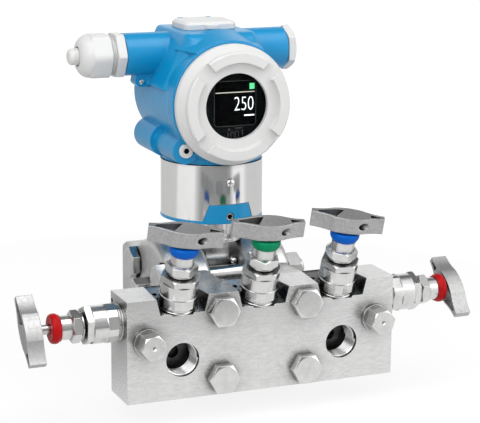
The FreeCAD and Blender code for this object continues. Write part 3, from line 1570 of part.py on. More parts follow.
def dust_cap(name):
    """The coloured ring over the top of the gland tube."""
    top = tube_top + d.dust_cap_wall
    foot = top - d.dust_cap_height
    piece = turned(name + "_dust_cap", [
        (d.gland_tube_radius + 0.05, foot),
        (d.dust_cap_radius - 1, foot, -2.4),
        (d.dust_cap_radius - 0.2, foot + 1.6),
        (d.dust_cap_radius, foot + d.dust_cap_height / 2),
        (d.dust_cap_radius - 0.2, top - 1.4, 1.8),
        (d.dust_cap_radius - 1.4, top),
        (d.spindle_radius + 0.4, top),
        (d.spindle_radius + 0.4, top - d.dust_cap_wall),
        (d.gland_tube_radius + 0.05, top - d.dust_cap_wall),
    ])
    piece.Placement = valve_frame(name)
    return piece


def rest_lift(name):
    """The side valve at the left stands open, and the other four are shut."""
    return d.valve_lift if name == "vent_left" else as_size(0)


def lifted(name):
    place = valve_frame(name)
    return place.multiply(frame_at(0, 0, rest_lift(name)))


def needle(name):
    """The tip that closes the seat. It is held by the spindle but doesn't turn with it."""
    top = -1.5
    foot = top - d.needle_length
    piece = turned(name + "_needle", [
        (0, foot - d.needle_cone),
        (d.gallery_radius * 0.6, foot - d.needle_cone),
        (d.needle_radius, foot),
        (d.needle_radius, top),
        (0, top),
    ])
    piece.Placement = lifted(name)
    keep(piece, name + "_needle")


def spindle(name):
    thread_foot = 0.5
    top = handle_foot + d.spindle_socket
    piece = turned(name + "_spindle", [
        (0, -1.5),
        (d.spindle_radius, -1.5),
        (d.spindle_radius, thread_foot),
        (d.spindle_thread_radius, thread_foot),
        (d.spindle_thread_radius, thread_foot + d.spindle_thread_length),
        (d.spindle_radius, thread_foot + d.spindle_thread_length),
        (d.spindle_radius, top),
        (0, top),
    ])
    piece.Placement = lifted(name)
    keep(piece, name + "_spindle")


def handle(name):
    """The T handle: a cast bar, widest at the spindle, with a long and a short pocket through it."""
    body = new_body(name + "_handle")
    reach = d.handle_half_length
    end = d.handle_end_half
    waist = d.handle_waist
    at = d.handle_waist_at
    flank = d.handle_flank_radius
    crown = (at * at + (d.handle_centre_half - waist) * (d.handle_centre_half - waist)) / (
        2 * (d.handle_centre_half - waist)
    )
    outline = new_sketch(body, "XY_Plane")
    draw_outline(outline, [
        (-reach, -end, -flank),
        (-at, -waist, crown),
        (at, -waist, -flank),
        (reach, -end),
        (reach, end, -flank),
        (at, waist, crown),
        (-at, waist, -flank),
        (-reach, end),
    ])
    pad(body, outline, d.handle_height)
    wall = d.handle_wall
    long_pocket = [
        (-d.handle_pocket_tip, -d.handle_end_half + 1),
        (-at, -waist + wall),
        (-d.handle_pocket_front, -waist + wall * 0.7),
        (-d.handle_pocket_back, waist - wall * 0.4),
        (-at, waist - wall),
        (-d.handle_pocket_tip, d.handle_end_half - 1),
    ]
    short_pocket = [
        (d.handle_notch_foot, -waist / 2 + wall * 0.6),
        (d.handle_notch_tip, -d.handle_end_half / 3),
        (d.handle_notch_tip, d.handle_end_half / 3),
        (d.handle_notch_foot, waist / 2 - wall * 0.6),
    ]
    for corners in (long_pocket, short_pocket):
        opening = new_sketch(body, "XY_Plane")
        draw_outline(opening, corners)
        pocket(body, opening, d.handle_height, reverse=True)
    socket = new_sketch(body, "XY_Plane")
    draw_circle(socket, (0, 0), d.spindle_radius)
    pocket(body, socket, d.spindle_socket, reverse=True)
    turn = about(0, 0, 1, HANDLE_TURN[name])
    place = lifted(name).multiply(frame_at(0, 0, handle_foot, turn))
    body.Placement = place
    hole = doc.addObject("Part::Cylinder", name + "_screw_hole")
    bind(hole, "Radius", d.handle_hole_radius)
    bind(hole, "Height", d.handle_centre_half * 3)
    aim = about(0, 0, 1, d.handle_hole_angle)
    hole.Placement = place.multiply(frame_at(0, 0, d.handle_height / 2, aim.multiply(FRONT)))
    cut = doc.addObject("Part::Cut", name + "_handle")
    cut.Base = body
    cut.Tool = hole
    doc.recompute()
    keep(cut, name + "_handle")


def make_valves():
    """The five needle valves: their fixed parts by kind, and the moving parts of each."""
    group("bonnets", [bonnet(name) for name in VALVES])
    group("lock_nuts", [lock_nut(name) for name in VALVES])
    group("gland_nuts", [gland_nut(name) for name in VALVES])
    group("stem_packings", [packing(name) for name in VALVES])
    group("blue_dust_caps", [dust_cap(name) for name in VALVES if name.startswith("isolate")])
    keep(dust_cap("equalize"), "green_dust_cap")
    group("red_dust_caps", [dust_cap(name) for name in VALVES if name.startswith("vent")])
    for name in VALVES:
        needle(name)
        spindle(name)
        handle(name)


def recompute_and_check():
    doc.recompute()
    for thing in doc.Objects:
        if "Invalid" in thing.State or "Error" in thing.State:
            raise ValueError("%s failed: %s" % (thing.Name, thing.State))
    for thing in sub_parts:
        if thing.Shape.isNull() or not thing.Shape.isValid():
            raise ValueError("bad shape in " + thing.Label)


def write_parts():
    os.makedirs("parts", exist_ok=True)
    for thing in sub_parts:
        thing.Shape.exportStep("parts/%s.step" % thing.Label)


make_manifold()
make_manifold_fasteners()
make_flange(-1, "flange_left")
make_flange(1, "flange_right")
make_cell()
make_flange_fasteners()
make_neck()
make_housing()
make_cover()
make_electronics()
make_entries()
make_head_screws()
make_top_cap()
make_valves()
recompute_and_check()
write_parts()
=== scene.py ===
"""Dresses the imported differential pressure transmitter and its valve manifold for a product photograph.

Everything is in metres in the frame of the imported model: X along the manifold, Y to the bracket face, Z up.
"""

import sys

import json
import logging
import math
from dataclasses import dataclass, field
from enum import Enum
from typing import Callable, Mapping, Sequence

import bpy
from mathutils import Matrix, Vector

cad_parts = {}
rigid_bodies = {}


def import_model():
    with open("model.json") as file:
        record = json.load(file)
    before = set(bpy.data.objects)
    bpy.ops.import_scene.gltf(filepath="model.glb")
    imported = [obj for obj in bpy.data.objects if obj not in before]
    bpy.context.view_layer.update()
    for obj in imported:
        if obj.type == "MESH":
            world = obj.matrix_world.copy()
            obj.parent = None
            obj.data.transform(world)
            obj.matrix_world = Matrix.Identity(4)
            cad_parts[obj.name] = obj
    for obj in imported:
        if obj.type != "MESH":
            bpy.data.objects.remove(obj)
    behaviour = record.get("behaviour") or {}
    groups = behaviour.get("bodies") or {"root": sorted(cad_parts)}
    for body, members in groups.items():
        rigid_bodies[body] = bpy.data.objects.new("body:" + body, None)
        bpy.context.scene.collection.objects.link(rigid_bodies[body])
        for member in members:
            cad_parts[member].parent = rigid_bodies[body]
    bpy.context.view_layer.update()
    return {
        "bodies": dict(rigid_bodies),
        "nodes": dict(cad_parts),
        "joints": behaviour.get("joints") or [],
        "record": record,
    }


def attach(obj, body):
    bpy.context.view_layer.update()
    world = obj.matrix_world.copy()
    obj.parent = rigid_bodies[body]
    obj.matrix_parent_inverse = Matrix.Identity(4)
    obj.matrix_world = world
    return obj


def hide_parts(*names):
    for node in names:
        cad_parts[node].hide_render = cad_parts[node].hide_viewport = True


LOG = logging.getLogger("transmitter")
MM = 0.001
MERGE_GAP = 1e-7
SAME_PLACE = 1e-6

Socket = bpy.types.NodeSocket
Tint = Socket | Sequence[float]
Colour = tuple[float, float, float]
Span = tuple[float, float]
Point = tuple[float, float, float]
Ring = tuple[tuple[float, float], ...]
Inputs = Mapping[str | int, object]


class Grain(Enum):
    """The way that the tool marks of a metal surface run: how fine they are along X, Y and Z."""

    NONE = (1.0, 1.0, 1.0)
    ALONG_X = (0.025, 1.0, 1.0)
    ALONG_Z = (1.0, 1.0, 0.025)


class Valve(Enum):
    """The five needle valves, by the names that their nodes and bodies carry."""

    ISOLATE_LEFT = "isolate_left"
    EQUALIZE = "equalize"
    ISOLATE_RIGHT = "isolate_right"
    VENT_LEFT = "vent_left"
    VENT_RIGHT = "vent_right"


def opaque(colour: Sequence[float]) -> tuple[float, ...]:
    """Return a colour with full cover."""
    return (*colour, 1.0)


class NodeTree:
    """A small hand for wiring the nodes of a material or of the world."""

    edge_samples = 4
    edge_span = (0.995, 0.85)
    corner_shade_samples = 6
    corner_shade_span = (0.35, 0.9)

    def __init__(self, owner: bpy.types.Material | bpy.types.World) -> None:
        """Start with an empty tree.

        Args:
            owner: The material or the world that the nodes belong to.
        """
        owner.use_nodes = True
        self.owner = owner
        self.nodes = owner.node_tree.nodes
        self.links = owner.node_tree.links
        self.nodes.clear()

    def fill(self, node: bpy.types.Node, inputs: Inputs) -> None:
        """Set or link the inputs of a node.

        Args:
            node: The node.
            inputs: What each input gets, by its name or number: a value, or the socket of another node.
        """
        for key, given in inputs.items():
            if isinstance(given, Socket):
                self.links.new(given, node.inputs[key])
            else:
                node.inputs[key].default_value = given

    def add(self, kind: str, inputs: Inputs, **settings: object) -> bpy.types.Node:
        """Add a node.

        Args:
            kind: The type of the node.
            inputs: What each input gets.
            **settings: The properties of the node, set before its inputs.

        Returns:
            The new node.
        """
        node = self.nodes.new(kind)
        for setting, value in settings.items():
            setattr(node, setting, value)
        self.fill(node, inputs)
        return node

    def calculate(self, operation: str, *values: Socket | float) -> Socket:
        """Work out a number.

        Args:
            operation: The name of the sum.
            *values: The numbers or sockets that go into it.

        Returns:
            The socket of the result.
        """
        return self.add("ShaderNodeMath", dict(enumerate(values)), operation=operation).outputs[0]

    def noise(self, scale: Sequence[float], detail: float, rough: float = 0.55) -> Socket:
        """Add a noise pattern on the object's own coordinates.

        Args:
            scale: Pattern units a metre along X, Y and Z.
            detail: Octaves of detail.
            rough: How strongly the fine octaves show.

        Returns:
            The socket of the noise's value.
        """
        place = self.add("ShaderNodeTexCoord", {})
        stretched = self.add("ShaderNodeMapping", {"Vector": place.outputs["Object"], "Scale": tuple(scale)})
        pattern = {"Vector": stretched.outputs["Vector"], "Scale": 1.0, "Detail": detail, "Roughness": rough}
        return self.add("ShaderNodeTexNoise", pattern).outputs["Fac"]

    def remap(self, value: Socket, low: float, high: float, start: float = 0.3, stop: float = 0.7) -> Socket:
        """Map a value from one range to another.

        Args:
            value: The socket to read.
            low: What the start of the range becomes.
            high: What the end of the range becomes.
            start: The start of the range read.
            stop: The end of the range read.

        Returns:
            The socket of the new value.
        """
        ranges = {"Value": value, "From Min": start, "From Max": stop, "To Min": low, "To Max": high}
        return self.add("ShaderNodeMapRange", ranges).outputs["Result"]

    def blend(self, factor: Socket, first: Tint, second: Tint) -> Socket:
        """Mix two colours by a value.

        Args:
            factor: The socket that chooses between them.
            first: The colour at nought.
            second: The colour at one.

        Returns:
            The socket of the mixed colour.
        """
        colours = {"Factor": factor, "A": first, "B": second}
        return self.add("ShaderNodeMix", colours, data_type="RGBA").outputs["Result"]

    def either(self, factor: Socket | float, first: Socket, second: Socket) -> Socket:
        """Mix two shaders.

        Args:
            factor: What chooses between them.
            first: The shader at nought.
            second: The shader at one.

        Returns:
            The socket of the mixed shader.
        """
        return self.add("ShaderNodeMixShader", {"Fac": factor, 1: first, 2: second}).outputs["Shader"]

    def rounded_edge_highlight(self, radius: float) -> tuple[Socket, Socket]:
        """Round the normals at edges and tell where the edges are, for the painted highlight that lightens
        their colour.

        Args:
            radius: The rounding in metres.

        Returns:
            The rounded normal, and a value that rises towards one at an edge.
        """
        rounded = self.add("ShaderNodeBevel", {"Radius": radius}, samples=self.edge_samples).outputs["Normal"]
        true = self.add("ShaderNodeNewGeometry", {}).outputs["Normal"]
        likeness = self.add("ShaderNodeVectorMath", {0: rounded, 1: true}, operation="DOT_PRODUCT")
        return rounded, self.remap(likeness.outputs["Value"], 0.0, 1.0, *self.edge_span)

    def corners(self, colour: Socket, size: float, level: float) -> Socket:
        """Paint shade into a colour where the surface meets another: painted contact shade in corners and
        recesses.

        Args:
            colour: The socket of the colour.
            size: How far from a corner the shade reaches, in metres.
            level: The share of the colour that is left in a corner.

        Returns:
            The socket of the shaded colour.
        """
        near = self.add("ShaderNodeAmbientOcclusion", {"Distance": size}, samples=self.corner_shade_samples)
        shade = self.remap(near.outputs["AO"], level, 1.0, *self.corner_shade_span)
        shaded = self.add("ShaderNodeVectorMath", {0: colour, "Scale": shade}, operation="SCALE")
        return shaded.outputs["Vector"]

    def bump(self, height: Socket, distance: float, strength: float, normal: Socket) -> Socket:
        """Turn a height into a bumped normal.

        Args:
            height: The socket of the height.
            distance: The depth in metres that the height spans.
            strength: How much of it shows.
            normal: The normal to start from.

        Returns:
            The bumped normal.
        """
        relief = {"Height": height, "Distance": distance, "Strength": strength, "Normal": normal}
        return self.add("ShaderNodeBump", relief).outputs["Normal"]


class SurfaceTree(NodeTree):
    """The nodes of a new material round its main shader."""

    def __init__(self, name: str) -> None:
        """Start a material with one shader.

        Args:
            name: The material's name.
        """
        super().__init__(bpy.data.materials.new(name))
        self.shader = self.add("ShaderNodeBsdfPrincipled", {})
        self.output = self.add("ShaderNodeOutputMaterial", {"Surface": self.shader.outputs["BSDF"]})

    def finish(self, inputs: Inputs) -> bpy.types.Material:
        """Fill the main shader.

        Args:
            inputs: What each of its inputs gets.

        Returns:
            The material.
        """
        self.fill(self.shader, inputs)
        return self.owner


@dataclass(frozen=True)
class Metal:
    """A bare metal, with tool marks and stains, a painted highlight on its edges and painted shade in its
    corners.
    """

    name: str
    colour: Colour
    dark: Colour
    roughness: Span
    grain: Grain = Grain.NONE
    grain_size: float = 0.3 * MM
    grain_depth: float = 0.006 * MM
    blotch_size: float = 6.0 * MM
    blotch_stretch: float = 1.0
    edge_radius: float = 0.35 * MM
    corner_shade_size: float = 5.0 * MM
    corner_shade_level: float = 0.25
    # Painted highlight: the colour at edges is lightened by this factor.
    gleam: float = 1.12
    mark_detail: float = 3.0
    mark_share: float = 0.5
    stain_detail: float = 4.0
    stain_rough: float = 0.6
    stain_span: Span = (0.35, 0.7)
    worn_span: Span = (0.5, 1.0)
    relief: float = 0.6

    def build(self) -> bpy.types.Material:
        """Make the material."""
        tree = SurfaceTree(self.name)
        blotch = 1.0 / self.blotch_size
        marks = tree.noise([share / self.grain_size for share in self.grain.value], self.mark_detail)
        stain = tree.noise((blotch * self.blotch_stretch, blotch, blotch), self.stain_detail,
                           self.stain_rough)
        normal, edge = tree.rounded_edge_highlight(self.edge_radius)
        stained = tree.remap(stain, 0.0, 1.0, *self.stain_span)
        tint = tree.blend(stained, opaque(self.colour), opaque(self.dark))
        # Painted highlight: edges take a lighter copy of the colour.
        edge_highlighted = tree.blend(edge, tint, opaque([min(1.0, share * self.gleam) for share in self.colour]))
        worn = tree.calculate("MULTIPLY_ADD", marks, self.mark_share, stain)
        return tree.finish({
            # Painted shade: the colour darkens in corners and recesses.
            "Base Color": tree.corners(edge_highlighted, self.corner_shade_size, self.corner_shade_level),
            "Metallic": 1.0,
            "Roughness": tree.remap(worn, *self.roughness, *self.worn_span),
            "Normal": tree.bump(marks, self.grain_depth, self.relief, normal),
        })


@dataclass(frozen=True)
class Coat:
    """A paint or a moulding: a solid colour with a faint texture, and an optional edge colour along its
    rounded edges, used as a painted highlight.
    """

    name: str
    colour: Colour
    shade: Colour
    roughness: Span
    texture_size: float = 0.5 * MM
    texture_depth: float = 0.01 * MM
    # edge: a paler colour along the rounded edges, a painted highlight.
    edge: Colour | None = None
    edge_radius: float = 0.6 * MM
    specular: float = 0.5
    clear: float = 0.0
    clear_roughness: float = 0.12
    peel_detail: float = 2.0
    cloud_scale: float = 70.0
    cloud_detail: float = 3.0
    relief: float = 0.5

    def build(self) -> bpy.types.Material:
        """Make the material."""
        tree = SurfaceTree(self.name)
        peel = tree.noise([1.0 / self.texture_size] * 3, self.peel_detail)
        cloud = tree.noise([self.cloud_scale] * 3, self.cloud_detail)
        normal, edge = tree.rounded_edge_highlight(self.edge_radius)
        tint = tree.blend(tree.remap(cloud, 0.0, 1.0), opaque(self.colour), opaque(self.shade))
        # Painted highlight: the rounded edges take the paler edge colour.
        if self.edge is not None:
            tint = tree.blend(edge, tint, opaque(self.edge))
        return tree.finish({
            "Base Color": tint,
            "Roughness": tree.remap(cloud, *self.roughness),
            "Specular IOR Level": self.specular,
            "Coat Weight": self.clear,
            "Coat Roughness": self.clear_roughness,
            "Normal": tree.bump(peel, self.texture_depth, self.relief, normal),
        })


@dataclass(frozen=True)
class Glow:
    """A lit part of the display."""

    name: str
    colour: Colour
    strength: float
    roughness: float = 0.4
    dot_scale: float = 4000.0
    dot_detail: float = 1.0
    flicker: Span = (0.9, 1.05)

    def build(self) -> bpy.types.Material:
        """Make the material."""
        tree = SurfaceTree(self.name)
        dots = tree.noise([self.dot_scale] * 3, self.dot_detail)
        return tree.finish({
            "Base Color": opaque(self.colour),
            "Roughness": self.roughness,
            "Emission Color": opaque(self.colour),
            "Emission Strength": tree.remap(dots, *(self.strength * share for share in self.flicker)),
        })


@dataclass(frozen=True)
class Pane:
    """The clear window, which casts next to no shadow."""

    name: str
    colour: Colour = (0.96, 0.98, 0.98)
    roughness: Span = (0.015, 0.05)
    smear_scale: float = 160.0
    smear_detail: float = 4.0
    bending: float = 1.06

    def build(self) -> bpy.types.Material:
        """Make the material."""
        tree = SurfaceTree(self.name)
        smear = tree.noise([self.smear_scale] * 3, self.smear_detail)
        shadow_ray = tree.add("ShaderNodeLightPath", {}).outputs["Is Shadow Ray"]
        clear = tree.add("ShaderNodeBsdfTransparent", {}).outputs["BSDF"]
        tree.fill(tree.output, {"Surface": tree.either(shadow_ray, tree.shader.outputs["BSDF"], clear)})
        return tree.finish({
            "Base Color": opaque(self.colour),
            "Roughness": tree.remap(smear, *self.roughness),
            "Transmission Weight": 1.0,
            "IOR": self.bending,
        })


def metals() -> list[Metal]:
    """Return the steels of the block, the valves, the cell and the sleeve."""
    return [
        # Every metal gets painted shade in its corners; on the milled block it reaches furthest and is
        # darkest.
        Metal("milled_steel", (0.76, 0.76, 0.755), (0.66, 0.66, 0.655), (0.22, 0.34), Grain.ALONG_X,
              grain_depth=0.022 * MM, blotch_size=1.3 * MM, blotch_stretch=0.3, corner_shade_size=14.0 * MM,
              corner_shade_level=0.12),
        # Painted shade: a dark steel for the deep walls of the process ports.
        Metal("bore_steel", (0.22, 0.22, 0.22), (0.12, 0.12, 0.12), (0.3, 0.45), grain_size=0.25 * MM,
              grain_depth=0.01 * MM, blotch_size=9.0 * MM),
        # Painted shade: a near-black steel for the deep faces of screw sockets.
        Metal("socket_shade", (0.05, 0.05, 0.05), (0.03, 0.03, 0.03), (0.4, 0.5), grain_size=0.25 * MM,
              grain_depth=0.01 * MM, blotch_size=9.0 * MM),
        Metal("turned_steel", (0.72, 0.72, 0.715), (0.63, 0.63, 0.625), (0.14, 0.26), edge_radius=0.4 * MM),
        Metal("cast_steel", (0.70, 0.70, 0.695), (0.58, 0.58, 0.575), (0.30, 0.44), grain_size=0.5 * MM,
              grain_depth=0.05 * MM, blotch_size=12 * MM, edge_radius=1.2 * MM),
        Metal("polished_steel", (0.82, 0.82, 0.815), (0.79, 0.79, 0.785), (0.08, 0.15), Grain.ALONG_Z,
              grain_depth=0.002 * MM, blotch_size=12 * MM, edge_radius=0.3 * MM),
        Metal("blasted_handle", (0.50, 0.50, 0.498), (0.40, 0.40, 0.398), (0.36, 0.50),
              grain_size=0.35 * MM, grain_depth=0.05 * MM, blotch_size=1.6 * MM, edge_radius=0.7 * MM),
        Metal("socket_steel", (0.40, 0.40, 0.40), (0.30, 0.30, 0.30), (0.2, 0.35), edge_radius=0.2 * MM),
    ]


def coats() -> list[Coat]:
    """Return the paints, mouldings and seals."""
    flat_print = {"texture_size": 1 * MM, "texture_depth": 0.001 * MM}
    dark_screen = {**flat_print, "edge_radius": 0.2 * MM, "specular": 0.03}
    cap = {"texture_size": 0.8 * MM, "texture_depth": 0.004 * MM, "edge_radius": 0.5 * MM, "specular": 0.12}
    # Painted highlight: each edge colour below is paler than its coat and lightens the rounded edges.
    return [
        Coat("blue_powder_coat", (0.0, 0.262, 0.54), (0.0, 0.247, 0.51), (0.28, 0.36),
             texture_size=0.35 * MM, texture_depth=0.012 * MM, edge=(0.02, 0.31, 0.64), edge_radius=1.2 * MM,
             specular=0.4, clear=0.2),
        Coat("white_enamel", (0.68, 0.68, 0.675), (0.66, 0.66, 0.655), (0.38, 0.48), texture_size=0.35 * MM,
             edge=(0.76, 0.76, 0.755), edge_radius=0.8 * MM, specular=0.45),
        Coat("white_moulding", (0.68, 0.68, 0.675), (0.65, 0.65, 0.645), (0.33, 0.42), texture_size=0.8 * MM,
             texture_depth=0.006 * MM, edge=(0.75, 0.75, 0.745), edge_radius=0.7 * MM, specular=0.45),
        Coat("black_rubber", (0.018, 0.018, 0.018), (0.03, 0.03, 0.03), (0.55, 0.7), texture_size=0.3 * MM,
             texture_depth=0.02 * MM),
        Coat("black_moulding", (0.012, 0.012, 0.013), (0.02, 0.02, 0.02), (0.3, 0.4)),
        Coat("display_glass", (0.001, 0.001, 0.001), (0.0015, 0.0015, 0.002), (0.2, 0.3), **dark_screen),
        Coat("display_mask", (0.005, 0.006, 0.0065), (0.006, 0.007, 0.0075), (0.4, 0.5), **dark_screen),
        Coat("key_print", (0.045, 0.05, 0.055), (0.06, 0.065, 0.07), (0.4, 0.5), **flat_print),
        Coat("seal_white", (0.6, 0.6, 0.57), (0.5, 0.5, 0.48), (0.45, 0.6)),
        Coat("blue_ring", (0.0, 0.11, 0.50), (0.0, 0.09, 0.44), (0.25, 0.35), edge=(0.0, 0.13, 0.56), **cap),
        Coat("green_ring", (0.0, 0.23, 0.10), (0.0, 0.20, 0.085), (0.25, 0.35), edge=(0.0, 0.27, 0.12),
             **cap),
        Coat("red_ring", (0.45, 0.005, 0.007), (0.38, 0.004, 0.006), (0.25, 0.35), edge=(0.50, 0.01, 0.012),
             **cap),
    ]


def lights() -> list[Glow]:
    """Return the lit parts of the display."""
    return [
        Glow("lit_white", (0.95, 0.97, 1.0), 0.95),
        Glow("lit_green", (0.10, 0.68, 0.27), 0.85),
        Glow("lit_line", (0.6, 0.6, 0.5), 0.45),
    ]


class Finishes:
    """Every finish on the transmitter, made once."""

    def __init__(self) -> None:
        """Build the materials."""
        looks = [*metals(), *coats(), *lights(), Pane("window_pane")]
        self.made: dict[str, bpy.types.Material] = {look.name: look.build() for look in looks}

    def __getitem__(self, name: str) -> bpy.types.Material:
        """Return the material of that name."""
        return self.made[name]

    def dress(self, thing: bpy.types.Object, name: str) -> None:
        """Give an object one finish.

        Args:
            thing: The object.
            name: The finish's name.
        """
        thing.data.materials.clear()
        thing.data.materials.append(self.made[name])


class Bench:
    """Modelling by hand with Blender's own operators, with every size in millimetres."""

    facing_up = 0.9
    chamfer_steps = 2
    chamfer_angle = 40.0
    corner_steps = 5
    thread_steps = 40
    thread_ridge = ((0.0, -0.46), (1.0, -0.1), (1.0, 0.1), (0.0, 0.46))
    font_size = 1.42
    font_offset = -0.028
    socket_margin = 0.05
    socket_span = (0.2, 2.5)

    def __init__(self, finishes: Finishes) -> None:
        """Remember the finishes.

        Args:
            finishes: Every finish.
        """
        self.finishes = finishes

    @staticmethod
    def clear() -> None:
        """Select nothing."""
        if bpy.context.mode != "OBJECT":
            bpy.ops.object.mode_set(mode="OBJECT")
        bpy.ops.object.select_all(action="DESELECT")

    def cylinder(self, name: str, radius: float, length: float, sides: int) -> bpy.types.Object:
        """Start a cylinder with its foot at the origin.

        Args:
            name: The piece's name.
            radius: Its radius.
            length: Its length along Z.
            sides: How many sides it has.

        Returns:
            The new object.
        """
        self.clear()
        bpy.ops.mesh.primitive_cylinder_add(vertices=sides, radius=radius * MM, depth=length * MM,
                                            location=(0, 0, length * MM / 2))
        return self.named(name)

    def block(self, name: str, size: Point) -> bpy.types.Object:
        """Start a box round the origin.

        Args:
            name: The piece's name.
            size: Its sizes along X, Y and Z.

        Returns:
            The new object.
        """
        self.clear()
        bpy.ops.mesh.primitive_cube_add(size=1.0, location=(0, 0, 0), scale=[side * MM for side in size])
        thing = self.named(name)
        bpy.ops.object.transform_apply(location=True, rotation=True, scale=True)
        return thing

    @staticmethod
    def named(name: str) -> bpy.types.Object:
        """Name the object that was just added, and its mesh.

        Args:
            name: The name.

        Returns:
            The object.
        """
        thing = bpy.context.object
        thing.name = name
        thing.data.name = name
        return thing

    @staticmethod
    def pick_faces(thing: bpy.types.Object, wanted: Callable[[bpy.types.MeshPolygon], bool]) -> None:
        """Select the faces that a test picks, and stay in edit mode.

        Args:
            thing: The object.
            wanted: The test.
        """
        bpy.ops.object.mode_set(mode="EDIT")
        bpy.ops.mesh.select_mode(type="FACE")
        bpy.ops.mesh.select_all(action="DESELECT")
        bpy.ops.object.mode_set(mode="OBJECT")
        for face in thing.data.polygons:
            face.select = wanted(face)
        bpy.ops.object.mode_set(mode="EDIT")

    def recess(self, thing: bpy.types.Object, border: float, depth: float) -> None:
        """Inset the top cap of a piece and sink it.

        Args:
            thing: A piece whose highest flat face is to be recessed.
            border: The width of the border left.
            depth: How deep the recess is.
        """
        top = max(face.center.z for face in thing.data.polygons)
        self.pick_faces(thing, lambda face: (face.normal.z > self.facing_up
                                             and abs(face.center.z - top) < SAME_PLACE))
        bpy.ops.mesh.inset(thickness=border * MM, depth=0)
        bpy.ops.mesh.extrude_region_move(TRANSFORM_OT_translate={"value": (0, 0, -depth * MM)})
        bpy.ops.object.mode_set(mode="OBJECT")

    def chamfer(self, thing: bpy.types.Object, width: float) -> None:
        """Bevel the sharp edges of a piece with a modifier and apply it.

        Args:
            thing: The piece.
            width: The bevel's width.
        """
        self.only(thing)
        bevel = thing.modifiers.new("edges", "BEVEL")
        bevel.width = width * MM
        bevel.segments = self.chamfer_steps
        bevel.limit_method = "ANGLE"
        bevel.angle_limit = math.radians(self.chamfer_angle)
        bpy.ops.object.modifier_apply(modifier=bevel.name)

    def only(self, thing: bpy.types.Object) -> None:
        """Select one object alone and make it active."""
        self.clear()
        thing.select_set(True)
        bpy.context.view_layer.objects.active = thing

    def lathe(self, name: str, profile: Sequence[tuple[float, float]], sides: int = 24) -> bpy.types.Object:
        """Turn a profile round Z: one that starts and ends on the axis, or a closed one off it.

        Args:
            name: The piece's name.
            profile: Radius and height of each point.
            sides: How many sides the piece has.

        Returns:
            The new object.
        """
        self.clear()
        bpy.ops.mesh.primitive_circle_add(vertices=len(profile), radius=MM, location=(0, 0, 0))
        thing = self.named(name)
        for vertex, (out, rise) in zip(thing.data.vertices, profile):
            vertex.co = (out * MM, 0.0, rise * MM)
        if profile[0][0] == 0:
            self.open_loop(thing, {0, len(profile) - 1})
        self.sweep(thing, 1, sides)
        self.heal(thing)
        return thing

    @staticmethod
    def open_loop(thing: bpy.types.Object, ends: set[int]) -> None:
        """Delete one edge of a closed profile.

        Args:
            thing: The profile.
            ends: The numbers of the two points that the edge joins.
        """
        bpy.ops.object.mode_set(mode="EDIT")
        bpy.ops.mesh.select_mode(type="EDGE")
        bpy.ops.mesh.select_all(action="DESELECT")
        bpy.ops.object.mode_set(mode="OBJECT")
        for edge in thing.data.edges:
            edge.select = set(edge.vertices) == ends
        bpy.ops.object.mode_set(mode="EDIT")
        bpy.ops.mesh.delete(type="EDGE")
        bpy.ops.object.mode_set(mode="OBJECT")

    def sweep(self, thing: bpy.types.Object, turns: int, steps: int, rise: float = 0.0) -> None:
        """Sweep a profile round Z.

        Args:
            thing: The profile.
            turns: How many turns it makes.
            steps: How many steps the whole sweep has.
            rise: How far it climbs in all.
        """
        self.only(thing)
        screw = thing.modifiers.new("sweep", "SCREW")
        screw.axis = "Z"
        screw.angle = 2 * math.pi * turns
        screw.screw_offset = rise * MM
        screw.steps = steps
        screw.render_steps = steps
        screw.use_merge_vertices = rise == 0
        screw.merge_threshold = MERGE_GAP
        screw.use_smooth_shade = False
        bpy.ops.object.modifier_apply(modifier=screw.name)

    def heal(self, thing: bpy.types.Object, hole: int = 0) -> None:
        """Merge doubled points, close the open ends and face every face outwards.

        Args:
            thing: The piece.
            hole: How many sides an open end has, or nought where there is none.
        """
        self.only(thing)
        bpy.ops.object.mode_set(mode="EDIT")
        bpy.ops.mesh.select_mode(type="VERT")
        bpy.ops.mesh.select_all(action="SELECT")
        bpy.ops.mesh.remove_doubles(threshold=MERGE_GAP)
        if hole:
            bpy.ops.mesh.fill_holes(sides=hole)
        bpy.ops.mesh.normals_make_consistent(inside=False)
        bpy.ops.object.mode_set(mode="OBJECT")

    @staticmethod
    def off_flat(place: Vector) -> float:
        """Return the angle between a place round Z and the middle of the nearest of six flats."""
        return math.atan2(place.y, place.x) % (math.pi / 3) - math.pi / 6

    def hexagon(self, thing: bpy.types.Object, corner: float, floor: float) -> None:
        """Press the round socket of a turned screw into a hexagon.

        Args:
            thing: The screw, turned with a multiple of six sides.
            corner: The socket's radius at its corners.
            floor: The height of the socket's floor.
        """
        for vertex in thing.data.vertices:
            out = vertex.co.xy.length
            if abs(out - corner * MM) < SAME_PLACE and vertex.co.z > floor * MM - SAME_PLACE:
                reach = math.cos(math.pi / 6) / math.cos(self.off_flat(vertex.co))
                vertex.co.x *= reach
                vertex.co.y *= reach

    def flats(self, thing: bpy.types.Object, half: float, low: float, high: float) -> None:
        """Cut six flats along a turned piece.

        Args:
            thing: The piece.
            half: Half the width across the flats.
            low: The height where the flats start.
            high: The height where they end.
        """
        for vertex in thing.data.vertices:
            if low * MM - SAME_PLACE < vertex.co.z < high * MM + SAME_PLACE:
                cut = min(1.0, half * MM / math.cos(self.off_flat(vertex.co)) / vertex.co.xy.length)
                vertex.co.x *= cut
                vertex.co.y *= cut

